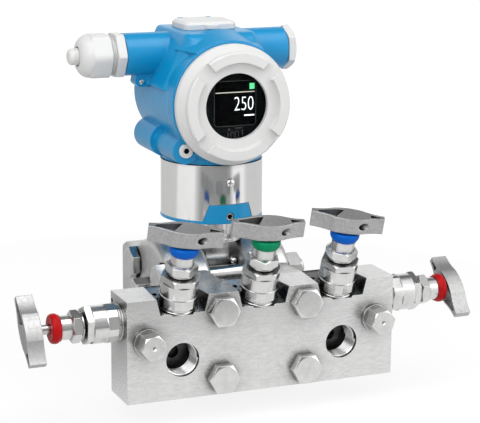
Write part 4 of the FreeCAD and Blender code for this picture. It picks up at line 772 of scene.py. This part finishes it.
    def outline(self, name: str, size: Span, line: float, corner: float,
                thickness: float) -> bpy.types.Object:
        """Draw a thin rounded frame that faces the front.

        Args:
            name: The piece's name.
            size: Its width and height.
            line: The width of its line.
            corner: The radius of its corners.
            thickness: How far it stands out.

        Returns:
            The new object, centred on the origin.
        """
        self.clear()
        bpy.ops.mesh.primitive_plane_add(size=1.0, location=(0, 0, 0))
        thing = self.named(name)
        for vertex in thing.data.vertices:
            vertex.co = (vertex.co.x * size[0] * MM, 0.0, vertex.co.y * size[1] * MM)
        bpy.ops.object.mode_set(mode="EDIT")
        bpy.ops.mesh.select_all(action="SELECT")
        bpy.ops.mesh.bevel(offset=corner * MM, segments=self.corner_steps, affect="VERTICES")
        bpy.ops.mesh.select_all(action="SELECT")
        bpy.ops.mesh.inset(thickness=line * MM, depth=0)
        bpy.ops.mesh.delete(type="FACE")
        bpy.ops.object.mode_set(mode="OBJECT")
        solid = thing.modifiers.new("thickness", "SOLIDIFY")
        solid.thickness = thickness * MM
        solid.offset = 0.0
        bpy.ops.object.modifier_apply(modifier=solid.name)
        self.heal(thing)
        return thing

    def helix(self, name: str, radius: float, tooth: float, pitch: float, turns: int) -> bpy.types.Object:
        """Wind a screw thread round Z from height nought.

        Args:
            name: The piece's name.
            radius: The radius of the thread's root.
            tooth: The height of its ridge; a negative one points inwards.
            pitch: Its rise a turn.
            turns: How many turns it has.

        Returns:
            The new object.
        """
        self.clear()
        bpy.ops.mesh.primitive_circle_add(vertices=len(self.thread_ridge), radius=MM, location=(0, 0, 0))
        thing = self.named(name)
        for vertex, (out, rise) in zip(thing.data.vertices, self.thread_ridge):
            vertex.co = ((radius + out * tooth) * MM, 0.0, rise * pitch * MM)
        self.sweep(thing, turns, self.thread_steps * turns, pitch * turns)
        self.heal(thing, len(self.thread_ridge))
        return thing

    def letters(self, name: str, words: str, size: Span, thickness: float) -> bpy.types.Object:
        """Write plain figures that face the front, centred on the origin.

        Args:
            name: The piece's name.
            words: The figures.
            size: The width of them all and the height of one.
            thickness: How far they stand out.

        Returns:
            The new object.
        """
        self.clear()
        bpy.ops.object.text_add(location=(0, 0, 0))
        thing = bpy.context.object
        thing.data.body = words
        thing.data.align_x = "CENTER"
        thing.data.align_y = "CENTER"
        thing.data.size = size[1] * MM * self.font_size
        thing.data.extrude = thickness * MM / 2
        thing.data.offset = size[1] * MM * self.font_offset
        bpy.ops.object.convert(target="MESH")
        thing = self.named(name)
        thing.data.transform(Matrix.Scale(size[0] * MM / thing.dimensions.x, 4, (1, 0, 0)))
        thing.data.transform(Matrix.Rotation(math.radians(90), 4, "X"))
        return thing

    def fit(self, thing: bpy.types.Object, place: Matrix, finish: str, body: str,
            replaces: Sequence[str] = (), smooth: float = 35, socket: float = 0.0) -> bpy.types.Object:
        """Put a finished piece in its place and hand it to a body.

        Args:
            thing: The piece, modelled about the origin.
            place: Where it goes.
            finish: The name of its finish.
            body: The body that it rides on.
            replaces: The nodes that it stands for.
            smooth: The angle in degrees up to which faces look smooth.
            socket: The radius of a socket in its top whose faces get painted shade.

        Returns:
            The piece.
        """
        sunk = self.sunk_faces(thing, socket) if socket else []
        thing.data.transform(place)
        thing.data.update()
        self.only(thing)
        bpy.ops.object.shade_smooth_by_angle(angle=math.radians(smooth))
        self.finishes.dress(thing, finish)
        # Painted shade: the socket's faces take the near-black socket_shade material.
        if socket:
            thing.data.materials.append(self.finishes["socket_shade"])
        for index in sunk:
            thing.data.polygons[index].material_index = 1
        if replaces:
            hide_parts(*replaces)
        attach(thing, body)
        LOG.info("fitted %s on %s", thing.name, body)
        return thing

    def sunk_faces(self, thing: bpy.types.Object, socket: float) -> list[int]:
        """Find the faces of the socket in the top of a screw.

        Args:
            thing: The screw, modelled about the origin along Z.
            socket: The socket's radius.

        Returns:
            The numbers of the faces.
        """
        top = max(vertex.co.z for vertex in thing.data.vertices)
        low, high = (MM * depth for depth in self.socket_span)
        reach = (socket + self.socket_margin) * MM
        return [face.index for face in thing.data.polygons
                if face.center.xy.length < reach and low < top - face.center.z < high]


def at(x: float, y: float, z: float) -> Matrix:
    """Return a move by millimetres."""
    return Matrix.Translation(Vector((x, y, z)) * MM)


def turn(degrees: float, axis: str) -> Matrix:
    """Return a turn about one axis."""
    return Matrix.Rotation(math.radians(degrees), 4, axis)


TO_FRONT = turn(90, "X")
TO_LEFT = turn(-90, "Y")
TO_RIGHT = turn(90, "Y")


@dataclass(frozen=True)
class Layout:
    """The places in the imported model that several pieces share, in millimetres."""

    barrel_z: float = 134.3
    block_front: float = -142.4
    block_depth: float = 29.6
    block_top: float = 31.25
    port_x: float = 51.8
    port_z: float = -7.25
    valve_pitch: float = 51.8
    valve_tilt: float = 18.0
    notch_depth: float = 10.2
    seat_reach: float = 10.5
    top_seat_depth: float = 1.2
    side_seat_x: float = 86.35
    side_valve_z: float = 15.75
    needle_travel: float = 5.0
    handle_middle: float = 48.6
    rim_y: float = -89.1
    entry_x: float = 54.0
    entry_y: float = -40.4
    entry_z: float = 161.0

    def valve(self, valve: Valve) -> Matrix:
        """Return the frame of a valve: the origin on its seat face and Z out of the block.

        Args:
            valve: Which valve.

        Returns:
            The frame.
        """
        middle_y = self.block_front + self.block_depth / 2
        if valve is Valve.VENT_LEFT:
            return at(-self.side_seat_x, middle_y, self.side_valve_z) @ TO_LEFT
        if valve is Valve.VENT_RIGHT:
            return at(self.side_seat_x, middle_y, self.side_valve_z) @ TO_RIGHT
        tilt = math.radians(self.valve_tilt)
        y = self.block_front + self.seat_reach * math.cos(tilt) + self.top_seat_depth * math.sin(tilt)
        z = (self.block_top - self.notch_depth + self.seat_reach * math.sin(tilt)
             - self.top_seat_depth * math.cos(tilt))
        x = {Valve.ISOLATE_LEFT: -1, Valve.EQUALIZE: 0, Valve.ISOLATE_RIGHT: 1}[valve] * self.valve_pitch
        return at(x, y, z) @ turn(self.valve_tilt, "X")

    def opened(self, valve: Valve) -> float:
        """Return how far a valve stands open, in millimetres."""
        return self.needle_travel if valve is Valve.VENT_LEFT else 0.0


@dataclass
class BareNodes:
    """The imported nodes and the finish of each, turned steel where nothing else is said."""

    finishes: Finishes
    layout: Layout
    port_radius: float = 10.6
    port_mouth: float = -141.6
    looks: dict[str, tuple[str, ...]] = field(default_factory=lambda: {
        "milled_steel": ("manifold_block",),
        "cast_steel": ("flange_left", "flange_right"),
        "polished_steel": ("isolating_diaphragms", "neck_sleeve", "earth_screw"),
        "blasted_handle": tuple(f"{valve.value}_handle" for valve in Valve),
        "blue_powder_coat": ("base_ring", "housing"),
        "white_enamel": ("front_cover", "cover_lock_screw"),
        "white_moulding": ("gland_body", "gland_dome_nut", "gland_blank_pin", "blind_plug", "top_cap"),
        "window_pane": ("window_glass",),
        "display_mask": ("display_module",),
        "black_rubber": ("cover_seal", "gland_seal", "entry_seals"),
        "black_moulding": ("electronics_insert", "terminal_block", "zero_key", "span_key"),
        "seal_white": ("manifold_gaskets", "process_seals", "stem_packings"),
        "blue_ring": ("blue_dust_caps",),
        "green_ring": ("green_dust_cap",),
        "red_ring": ("red_dust_caps",),
    })

    def dress(self, nodes: dict[str, bpy.types.Object]) -> None:
        """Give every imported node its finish.

        Args:
            nodes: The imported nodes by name.
        """
        finish_of = {name: finish for finish, names in self.looks.items() for name in names}
        for name, node in nodes.items():
            finish = finish_of.get(name, "turned_steel")
            self.finishes.dress(node, finish)
            LOG.info("dressed %s with %s", name, finish)
        self.paint_port_shade(nodes["manifold_block"])

    def paint_port_shade(self, block: bpy.types.Object) -> None:
        """Paint shade on the walls of the two process ports with a darker steel, which stands in for the
        shade deep in them.

        Args:
            block: The manifold block.
        """
        block.data.materials.append(self.finishes["bore_steel"])
        for face in block.data.polygons:
            centre = face.center / MM
            off = math.hypot(abs(centre.x) - self.layout.port_x, centre.z - self.layout.port_z)
            # Painted shade: port wall faces take the dark steel.
            if off < self.port_radius and centre.y > self.port_mouth:
                face.material_index = 1


@dataclass
class Display:
    """The lit screen behind the window, with its figures, header line and keys, in millimetres."""

    bench: Bench
    layout: Layout
    mask_radius: float = 24.5
    mask_stand: float = 1.6
    mask_thickness: float = 0.3
    mask_lip: Span = (0.6, 0.06)
    screen_size: Span = (27.8, 28.0)
    screen_thickness: float = 0.2
    screen_edge: float = 0.06
    screen_x: float = 1.5
    screen_rise: float = 0.7
    border_line: float = 0.35
    border_corner: float = 2.4
    print_stand: float = 2.1
    print_step: float = 0.14
    print_thickness: float = 0.1
    print_edge: float = 0.02
    figures: str = "250"
    figures_place: Span = (5.8, -0.7)
    figures_size: Span = (12.6, 8.8)
    key_size: Span = (2.3, 4.6)
    key_line: float = 0.3
    key_corner: float = 0.7
    key_places: tuple[Span, ...] = ((-1.6, -19.8), (1.4, -19.4))
    mark_places: tuple[Span, ...] = ((-4.6, -19.3), (5.0, -18.2), (2.6, -15.2), (-3.9, -16.0))
    mark_sizes: tuple[Span, ...] = ((0.5, 3.2), (0.7, 3.8), (4.6, 0.5), (1.4, 1.4))

    def spot(self, x: float, z: float) -> Matrix:
        """Return the frame of a place on the screen, measured from the middle of the screen."""
        z += self.layout.barrel_z + self.screen_rise
        return at(self.screen_x + x, self.layout.rim_y - self.print_stand, z)

    def bar(self, name: str, place: Span, size: Span, finish: str) -> None:
        """Lay a small flat bar on the screen.

        Args:
            name: The piece's name.
            place: Its middle, measured from the middle of the screen.
            size: Its width and height.
            finish: The name of its finish.
        """
        piece = self.bench.block(name, (size[0], self.print_thickness, size[1]))
        self.bench.chamfer(piece, self.print_edge)
        self.bench.fit(piece, self.spot(*place), finish, "head")

    def glass(self) -> None:
        """Model the mask, the screen and the screen's border."""
        sunk = at(0, self.print_step, 0)
        middle = at(0, self.layout.rim_y - self.mask_stand, self.layout.barrel_z)
        mask = self.bench.cylinder("display_mask", self.mask_radius, self.mask_thickness, 96)
        self.bench.recess(mask, *self.mask_lip)
        self.bench.fit(mask, middle @ TO_FRONT, "display_mask", "head")
        width, height = self.screen_size
        screen = self.bench.block("display_screen", (width, self.screen_thickness, height))
        self.bench.chamfer(screen, self.screen_edge)
        self.bench.fit(screen, self.spot(0, 0) @ sunk, "display_glass", "head")
        border = self.bench.outline("display_border", self.screen_size, self.border_line, self.border_corner,
                                    self.print_thickness)
        self.bench.fit(border, self.spot(0, 0), "key_print", "head")

    def reading(self) -> None:
        """Write the figures, the bar of the unit, the header line and the status square."""
        number = self.bench.letters("display_figures", self.figures, self.figures_size, self.print_thickness)
        self.bench.fit(number, self.spot(*self.figures_place), "lit_white", "head")
        self.bar("display_unit", (9.4, -7.6), (6.6, 0.8), "lit_white")
        self.bar("display_header_line", (0.0, 6.9), (25.6, 0.5), "lit_line")
        self.bar("display_status", (11.1, 10.3), (3.3, 3.6), "lit_green")

    def keys(self) -> None:
        """Print the outlines of the touch keys under the screen, and the marks beside them."""
        for index, place in enumerate(self.key_places):
            key = self.bench.outline(f"display_key_{index + 1}", self.key_size, self.key_line,
                                     self.key_corner, self.print_thickness)
            self.bench.fit(key, self.spot(*place) @ at(0, self.print_step, 0), "key_print", "head")
        for index, (place, size) in enumerate(zip(self.mark_places, self.mark_sizes)):
            self.bar(f"display_mark_{index + 1}", place, size, "key_print")

    def build(self) -> None:
        """Model the screen and what it shows."""
        self.glass()
        self.reading()
        self.keys()


@dataclass
class CableGland:
    """The plastic cable gland: hexagon, coarse thread and dome nut, in millimetres."""

    bench: Bench
    layout: Layout
    seat: float = 0.7
    bore: float = 6.5
    sides: int = 72
    smooth: float = 28.0
    hexagon: float = 5.6
    hexagon_corner: float = 15.0
    half_flats: float = 13.2
    neck_radius: float = 10.6
    neck_length: float = 14.0
    shank_radius: float = 9.8
    shank_length: float = 8.7
    tooth: float = 1.3
    pitch: float = 2.2
    turns: int = 3
    thread_start: float = 0.3
    nut_foot: float = 9.7
    nut_radius: float = 14.5
    nut_flats: float = 12.0
    nut_mouth: float = 6.0
    thread_depth: float = 8.0

    def place(self, out: float) -> Matrix:
        """Return the frame of the gland's axis at a distance from the entry's face, a flat upwards."""
        entry = at(-self.layout.entry_x - out, self.layout.entry_y, self.layout.entry_z)
        return entry @ TO_LEFT @ turn(30, "Z")

    def body(self) -> None:
        """Turn the gland's body and cut its hexagon."""
        corner = self.hexagon_corner
        piece = self.bench.lathe("gland_hexagon_body", [
            (self.bore, -self.shank_length), (self.shank_radius, -self.shank_length), (self.shank_radius, 0),
            (corner - 0.6, 0), (corner, 0.5), (corner, self.hexagon - 0.6), (corner - 0.8, self.hexagon),
            (self.neck_radius, self.hexagon), (self.neck_radius, self.neck_length),
            (self.bore, self.neck_length)], self.sides)
        self.bench.flats(piece, self.half_flats, 0, self.hexagon)
        self.bench.fit(piece, self.place(self.seat), "white_moulding", "head", ["gland_body"], self.smooth)

    def nut(self) -> None:
        """Turn the dome nut, with flats along its foot."""
        crest = self.neck_radius + self.tooth
        foot = self.nut_radius
        piece = self.bench.lathe("gland_ribbed_dome_nut", [
            (crest, 0), (foot - 0.6, 0), (foot, 0.5), (foot, self.nut_flats - 0.6),
            (foot - 0.4, self.nut_flats), (13.35, 12.3), (13.1, 14.0), (12.3, 15.8), (10.9, 17.4),
            (9.2, 18.5), (7.6, 19.0), (self.nut_mouth + 0.3, 19.0), (self.nut_mouth, 18.6),
            (self.nut_mouth, self.thread_depth), (crest, self.thread_depth)], self.sides)
        self.bench.flats(piece, self.half_flats, 0, self.nut_flats)
        self.bench.fit(piece, self.place(self.nut_foot), "white_moulding", "head", ["gland_dome_nut"],
                       self.smooth)

    def thread(self) -> None:
        """Wind the thread that shows between the body and the nut."""
        piece = self.bench.helix("gland_thread", self.neck_radius, self.tooth, self.pitch, self.turns)
        start = self.seat + self.hexagon + self.thread_start
        self.bench.fit(piece, self.place(start), "white_moulding", "head")

    def build(self) -> None:
        """Model the body, the nut and the thread."""
        self.body()
        self.nut()
        self.thread()


@dataclass
class PortThreads:
    """The tapered pipe threads in the two process ports, in millimetres."""

    bench: Bench
    layout: Layout
    radius: float = 10.35
    tooth: float = 0.9
    pitch: float = 1.81
    turns: int = 7
    foot: float = 15.2

    def build(self) -> None:
        """Wind a thread in each port."""
        for side, label in ((-1, "left"), (1, "right")):
            thread = self.bench.helix(f"port_thread_{label}", self.radius, -self.tooth, self.pitch,
                                      self.turns)
            place = at(side * self.layout.port_x, self.layout.block_front + self.foot, self.layout.port_z)
            self.bench.fit(thread, place @ TO_FRONT, "turned_steel", "base")


@dataclass(frozen=True)
class SocketScrew:
    """The sizes of a screw with a hexagon socket, in millimetres."""

    shank_radius: float
    shank_length: float
    head_radius: float
    head_height: float
    socket_corner: float
    socket_depth: float
    edge_share: float = 0.15
    edge_limit: float = 0.4
    lead_in: float = 0.15
    sides: int = 48

    def build(self, bench: Bench, name: str) -> bpy.types.Object:
        """Model the screw along Z, with the seat of its head at height nought.

        Args:
            bench: The bench to model on.
            name: The screw's name.

        Returns:
            The screw.
        """
        head, top, corner = self.head_radius, self.head_height, self.socket_corner
        edge = min(self.edge_limit, head * self.edge_share)
        floor = top - self.socket_depth
        piece = bench.lathe(name, [
            (0, -self.shank_length), (self.shank_radius, -self.shank_length), (self.shank_radius, 0),
            (head, 0), (head, top - edge), (head - edge * 0.3, top - edge * 0.3), (head - edge, top),
            (corner + self.lead_in, top), (corner, top - self.lead_in), (corner, floor),
            (0, floor)], self.sides)
        bench.hexagon(piece, corner, floor)
        return piece


@dataclass
class SmallScrews:
    """The set screw of each handle, the screws of the head and neck, and the filling ball, in millimetres."""

    bench: Bench
    layout: Layout
    set_screw: SocketScrew = SocketScrew(2.0, 0.4, 2.3, 2.4, 1.35, 1.5)
    set_screw_angle: float = 64.0
    set_screw_reach: float = 3.6
    lock_screw: SocketScrew = SocketScrew(2.25, 7.0, 4.5, 1.6, 1.9, 1.9)
    lock_place: Point = (-28.4, -85.6, 106.5)
    clamp_screw: SocketScrew = SocketScrew(2.4, 6.2, 2.6, 0.8, 1.75, 1.8)
    clamp_place: Point = (0.0, -87.25, 63.4)
    button_place: Point = (0.0, -88.85, 85.1)
    earth_place: Point = (-42.5, -44.9, 143.9)
    ball_place: Point = (10.6, -69.0, 30.4)
    handle_turns: dict[Valve, float] = field(default_factory=lambda: {
        Valve.ISOLATE_LEFT: -20.0,
        Valve.EQUALIZE: -9.0,
        Valve.ISOLATE_RIGHT: -23.0,
        Valve.VENT_LEFT: -140.0,
        Valve.VENT_RIGHT: 130.0,
    })

    def in_handles(self) -> None:
        """Fit a set screw to each handle."""
        for valve in Valve:
            piece = self.set_screw.build(self.bench, f"{valve.value}_set_screw")
            frame = self.layout.valve(valve) @ at(0, 0, self.layout.opened(valve) + self.layout.handle_middle)
            aim = turn(self.handle_turns[valve], "Z") @ turn(self.set_screw_angle, "Z") @ TO_FRONT
            self.bench.fit(piece, frame @ aim @ at(0, 0, self.set_screw_reach), "socket_steel",
                           f"{valve.value}_stem", socket=self.set_screw.socket_corner)

    def lock(self) -> None:
        """Fit the screw that locks the cover."""
        piece = self.lock_screw.build(self.bench, "cover_lock_socket_screw")
        self.bench.fit(piece, at(*self.lock_place) @ TO_FRONT, "white_enamel", "head", ["cover_lock_screw"],
                       socket=self.lock_screw.socket_corner)

    def earth(self) -> None:
        """Fit the earth screw on its lug."""
        piece = self.bench.lathe("earth_round_screw", [
            (0, -5), (1.14, -5), (1.14, 0), (1.9, 0), (1.9, 0.5), (1.6, 1.1), (0.9, 1.4), (0.35, 1.45),
            (0.3, 1.0), (0, 1.0)])
        self.bench.fit(piece, at(*self.earth_place) @ TO_FRONT, "polished_steel", "head", ["earth_screw"])

    def button(self) -> None:
        """Fit the domed screw of the sleeve."""
        piece = self.bench.lathe("sleeve_domed_screw", [
            (0, -2.6), (2.6, -2.6), (2.6, 0.1), (2.45, 0.6), (2.0, 1.0), (1.2, 1.25), (0.5, 1.3),
            (0, 1.3)], 48)
        self.bench.fit(piece, at(*self.button_place) @ TO_FRONT, "polished_steel", "base", ["sleeve_screw"],
                       60)

    def clamp(self) -> None:
        """Fit the clamp screw of the base ring."""
        piece = self.clamp_screw.build(self.bench, "clamp_socket_screw")
        self.bench.fit(piece, at(*self.clamp_place) @ TO_FRONT, "turned_steel", "base", ["clamp_screw"],
                       socket=self.clamp_screw.socket_corner)

    def ball_plug(self) -> None:
        """Fit the ball that closes the filling hole beside the cell's neck."""
        ball = self.bench.lathe("filling_ball", [
            (0, -1.2), (2.0, -1.2), (2.35, -0.6), (2.4, 0), (2.3, 0.8), (1.9, 1.5), (1.3, 2.0), (0.6, 2.3),
            (0, 2.4)], 32)
        self.bench.fit(ball, at(*self.ball_place) @ TO_FRONT, "polished_steel", "base", smooth=60)

    def build(self) -> None:
        """Fit every small screw."""
        self.in_handles()
        self.lock()
        self.earth()
        self.button()
        self.clamp()
        self.ball_plug()


class StudioTree(NodeTree):
    """The nodes of the world or of the floor, which show each kind of ray something of its own."""

    def __init__(self, owner: bpy.types.Material | bpy.types.World) -> None:
        """Start with the kinds of ray told apart.

        Args:
            owner: The material or the world that the nodes belong to.
        """
        super().__init__(owner)
        path = self.add("ShaderNodeLightPath", {}).outputs
        self.camera_ray = path["Is Camera Ray"]
        self.mirror_ray = self.calculate("MAXIMUM", path["Is Glossy Ray"], path["Is Transmission Ray"])

    def ring(self, direction: Socket, levels: Ring) -> Socket:
        """Paint the brightness of the studio round the object, as its metal mirrors it.

        Args:
            direction: The socket of the direction looked in.
            levels: The brightness at each azimuth in degrees, from the front towards the right.

        Returns:
            The socket of the brightness.
        """
        split = self.add("ShaderNodeSeparateXYZ", {"Vector": direction}).outputs
        angle = self.calculate("ARCTAN2", split["X"], self.calculate("MULTIPLY", split["Y"], -1.0))
        ramp = self.add("ShaderNodeValToRGB", {"Fac": self.remap(angle, 0.0, 1.0, -math.pi, math.pi)})
        stops = ramp.color_ramp.elements
        for stop, (_, level) in zip(stops, (levels[0], levels[-1])):
            stop.color = opaque([level] * 3)
        for degrees, level in levels[1:-1]:
            stops.new((degrees + 180) / 360).color = opaque([level] * 3)
        return ramp.outputs["Color"]

    def background(self, colour: Tint, strength: float = 1.0) -> Socket:
        """Add a light of the world and return its socket."""
        return self.add("ShaderNodeBackground", {"Color": colour, "Strength": strength}).outputs["Background"]

    def emission(self, colour: Tint, strength: float = 1.0) -> Socket:
        """Add a glowing surface and return its socket."""
        return self.add("ShaderNodeEmission", {"Color": colour, "Strength": strength}).outputs["Emission"]


@dataclass(frozen=True)
class SoftBox:
    """A rectangular lamp, in metres and watts."""

    name: str
    place: Point
    size: Span
    power: float

    def hang(self, aim: Vector) -> None:
        """Hang the lamp.

        Args:
            aim: The place that it shines at.
        """
        data = bpy.data.lights.new(self.name, "AREA")
        data.shape = "RECTANGLE"
        data.size, data.size_y = self.size
        data.energy = self.power
        lamp = bpy.data.objects.new(self.name, data)
        bpy.context.scene.collection.objects.link(lamp)
        lamp.location = self.place
        lamp.rotation_euler = (aim - Vector(self.place)).to_track_quat("-Z", "Y").to_euler()


@dataclass
class Studio:
    """The camera, the lamps, the floor and what the metal reflects."""

    bench: Bench
    eye: Point = (-401.4, -1066.4, 307.0)
    target: Point = (-15.97, -142.4, 79.68)
    focal_pixels: float = 1749.5
    image_width: float = 480.0
    sensor_width: float = 36.0
    roll: float = 0.44
    boxes: tuple[SoftBox, ...] = (
        SoftBox("key_light", (-0.9, -1.1, 0.9), (1.4, 1.2), 11.0),
        SoftBox("fill_light", (1.1, -0.9, 0.5), (1.0, 1.4), 6.0),
        SoftBox("top_light", (0.0, -0.5, 1.3), (1.4, 1.0), 9.0),
    )
    lamp_aim: Point = (0.0, -0.09, 0.07)
    white: Colour = (1.0, 1.0, 1.0)
    world_level: float = 0.5
    ceiling_span: Span = (0.45, 0.65)
    floor_z: float = -47.5
    floor_size: float = 12.0
    floor_colour: Colour = (0.7, 0.7, 0.7)
    floor_roughness: float = 0.9
    floor_glow: float = 1.09
    floor_glow_share: float = 0.75
    floor_near: Span = (0.33, 0.45)
    ceiling: Ring = (
        (-180, 0.16), (-130, 0.16), (-100, 0.6), (-40, 0.8), (40, 0.8), (100, 0.6), (130, 0.16), (180, 0.16))
    near_floor: Ring = (
        (-180, 0.55), (-130, 0.45), (-85, 0.45), (-50, 0.9), (-20, 1.0), (60, 1.0), (110, 0.8), (180, 0.7))
    panels: Ring = (
        (-180, 1.0), (-168, 0.62), (-148, 0.66), (-100, 0.68), (-94, 0.95), (-56, 1.0), (-48, 0.60),
        (-40, 0.36), (10, 0.30), (18, 0.40), (26, 1.0), (48, 1.0), (58, 0.70), (128, 0.68), (142, 1.0),
        (180, 1.0))

    def build(self) -> None:
        """Make the camera, the lights and the backdrop."""
        self.camera()
        self.world()
        for box in self.boxes:
            box.hang(Vector(self.lamp_aim))
        self.floor()

    def camera(self) -> None:
        """Place the camera where the photograph was taken."""
        data = bpy.data.cameras.new("camera")
        data.sensor_fit = "HORIZONTAL"
        data.sensor_width = self.sensor_width
        data.lens = self.focal_pixels * self.sensor_width / self.image_width
        data.clip_start = 0.01
        data.clip_end = 50.0
        camera = bpy.data.objects.new("camera", data)
        bpy.context.scene.collection.objects.link(camera)
        eye = Vector(self.eye) * MM
        forward = (Vector(self.target) * MM - eye).normalized()
        right = forward.cross(Vector((0, 0, 1))).normalized()
        up = right.cross(forward)
        tilt = math.radians(self.roll)
        right, up = math.cos(tilt) * right + math.sin(tilt) * up, math.cos(tilt) * up - math.sin(tilt) * right
        place = Matrix((right, up, -forward)).transposed().to_4x4()
        place.translation = eye
        camera.matrix_world = place
        bpy.context.scene.camera = camera

    def world(self) -> None:
        """Light the object evenly, show white behind it and give its metal a studio to mirror."""
        world = bpy.data.worlds.new("studio")
        bpy.context.scene.world = world
        tree = StudioTree(world)
        direction = tree.add("ShaderNodeTexCoord", {}).outputs["Generated"]
        height = tree.add("ShaderNodeSeparateXYZ", {"Vector": direction}).outputs["Z"]
        overhead = tree.remap(height, 0.0, 1.0, *self.ceiling_span)
        studio = tree.blend(overhead, tree.ring(direction, self.panels), tree.ring(direction, self.ceiling))
        light = tree.background(opaque(self.white), self.world_level)
        unseen = tree.either(tree.mirror_ray, light, tree.background(studio))
        shown = tree.either(tree.camera_ray, unseen, tree.background(opaque(self.white)))
        tree.add("ShaderNodeOutputWorld", {"Surface": shown})

    def floor(self) -> None:
        """Lay the pale floor, which keeps the object's soft shadow and turns white away from it."""
        self.bench.clear()
        bpy.ops.mesh.primitive_plane_add(size=self.floor_size, location=(0, 0, self.floor_z * MM))
        floor = self.bench.named("studio_floor")
        tree = StudioTree(bpy.data.materials.new("studio_floor"))
        place = tree.add("ShaderNodeNewGeometry", {}).outputs["Position"]
        paint = {"Base Color": opaque(self.floor_colour), "Roughness": self.floor_roughness}
        painted = tree.add("ShaderNodeBsdfPrincipled", paint).outputs["BSDF"]
        white = tree.emission(opaque(self.white), self.floor_glow)
        lit = tree.either(tree.mirror_ray, white, tree.emission(tree.ring(place, self.near_floor)))
        near = tree.either(self.floor_glow_share, painted, lit)
        far = tree.either(tree.camera_ray, tree.emission(tree.ring(place, self.panels)), white)
        distance = tree.add("ShaderNodeVectorMath", {0: place}, operation="LENGTH").outputs["Value"]
        seen = tree.either(tree.remap(distance, 0.0, 1.0, *self.floor_near), near, far)
        looked_at = tree.calculate("MAXIMUM", tree.camera_ray, tree.mirror_ray)
        tree.add("ShaderNodeOutputMaterial", {"Surface": tree.either(looked_at, painted, seen)})
        floor.data.materials.append(tree.owner)


def main() -> None:
    """Load the frame, dress its nodes, fit the new pieces and light them."""
    logging.basicConfig(level=logging.INFO, format="%(message)s", stream=sys.stdout)
    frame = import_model()
    bpy.context.scene.view_settings.view_transform = "Standard"
    finishes = Finishes()
    bench = Bench(finishes)
    layout = Layout()
    Studio(bench).build()
    BareNodes(finishes, layout).dress(frame["nodes"])
    Display(bench, layout).build()
    CableGland(bench, layout).build()
    PortThreads(bench, layout).build()
    SmallScrews(bench, layout).build()


if __name__ == "__main__":
    main()
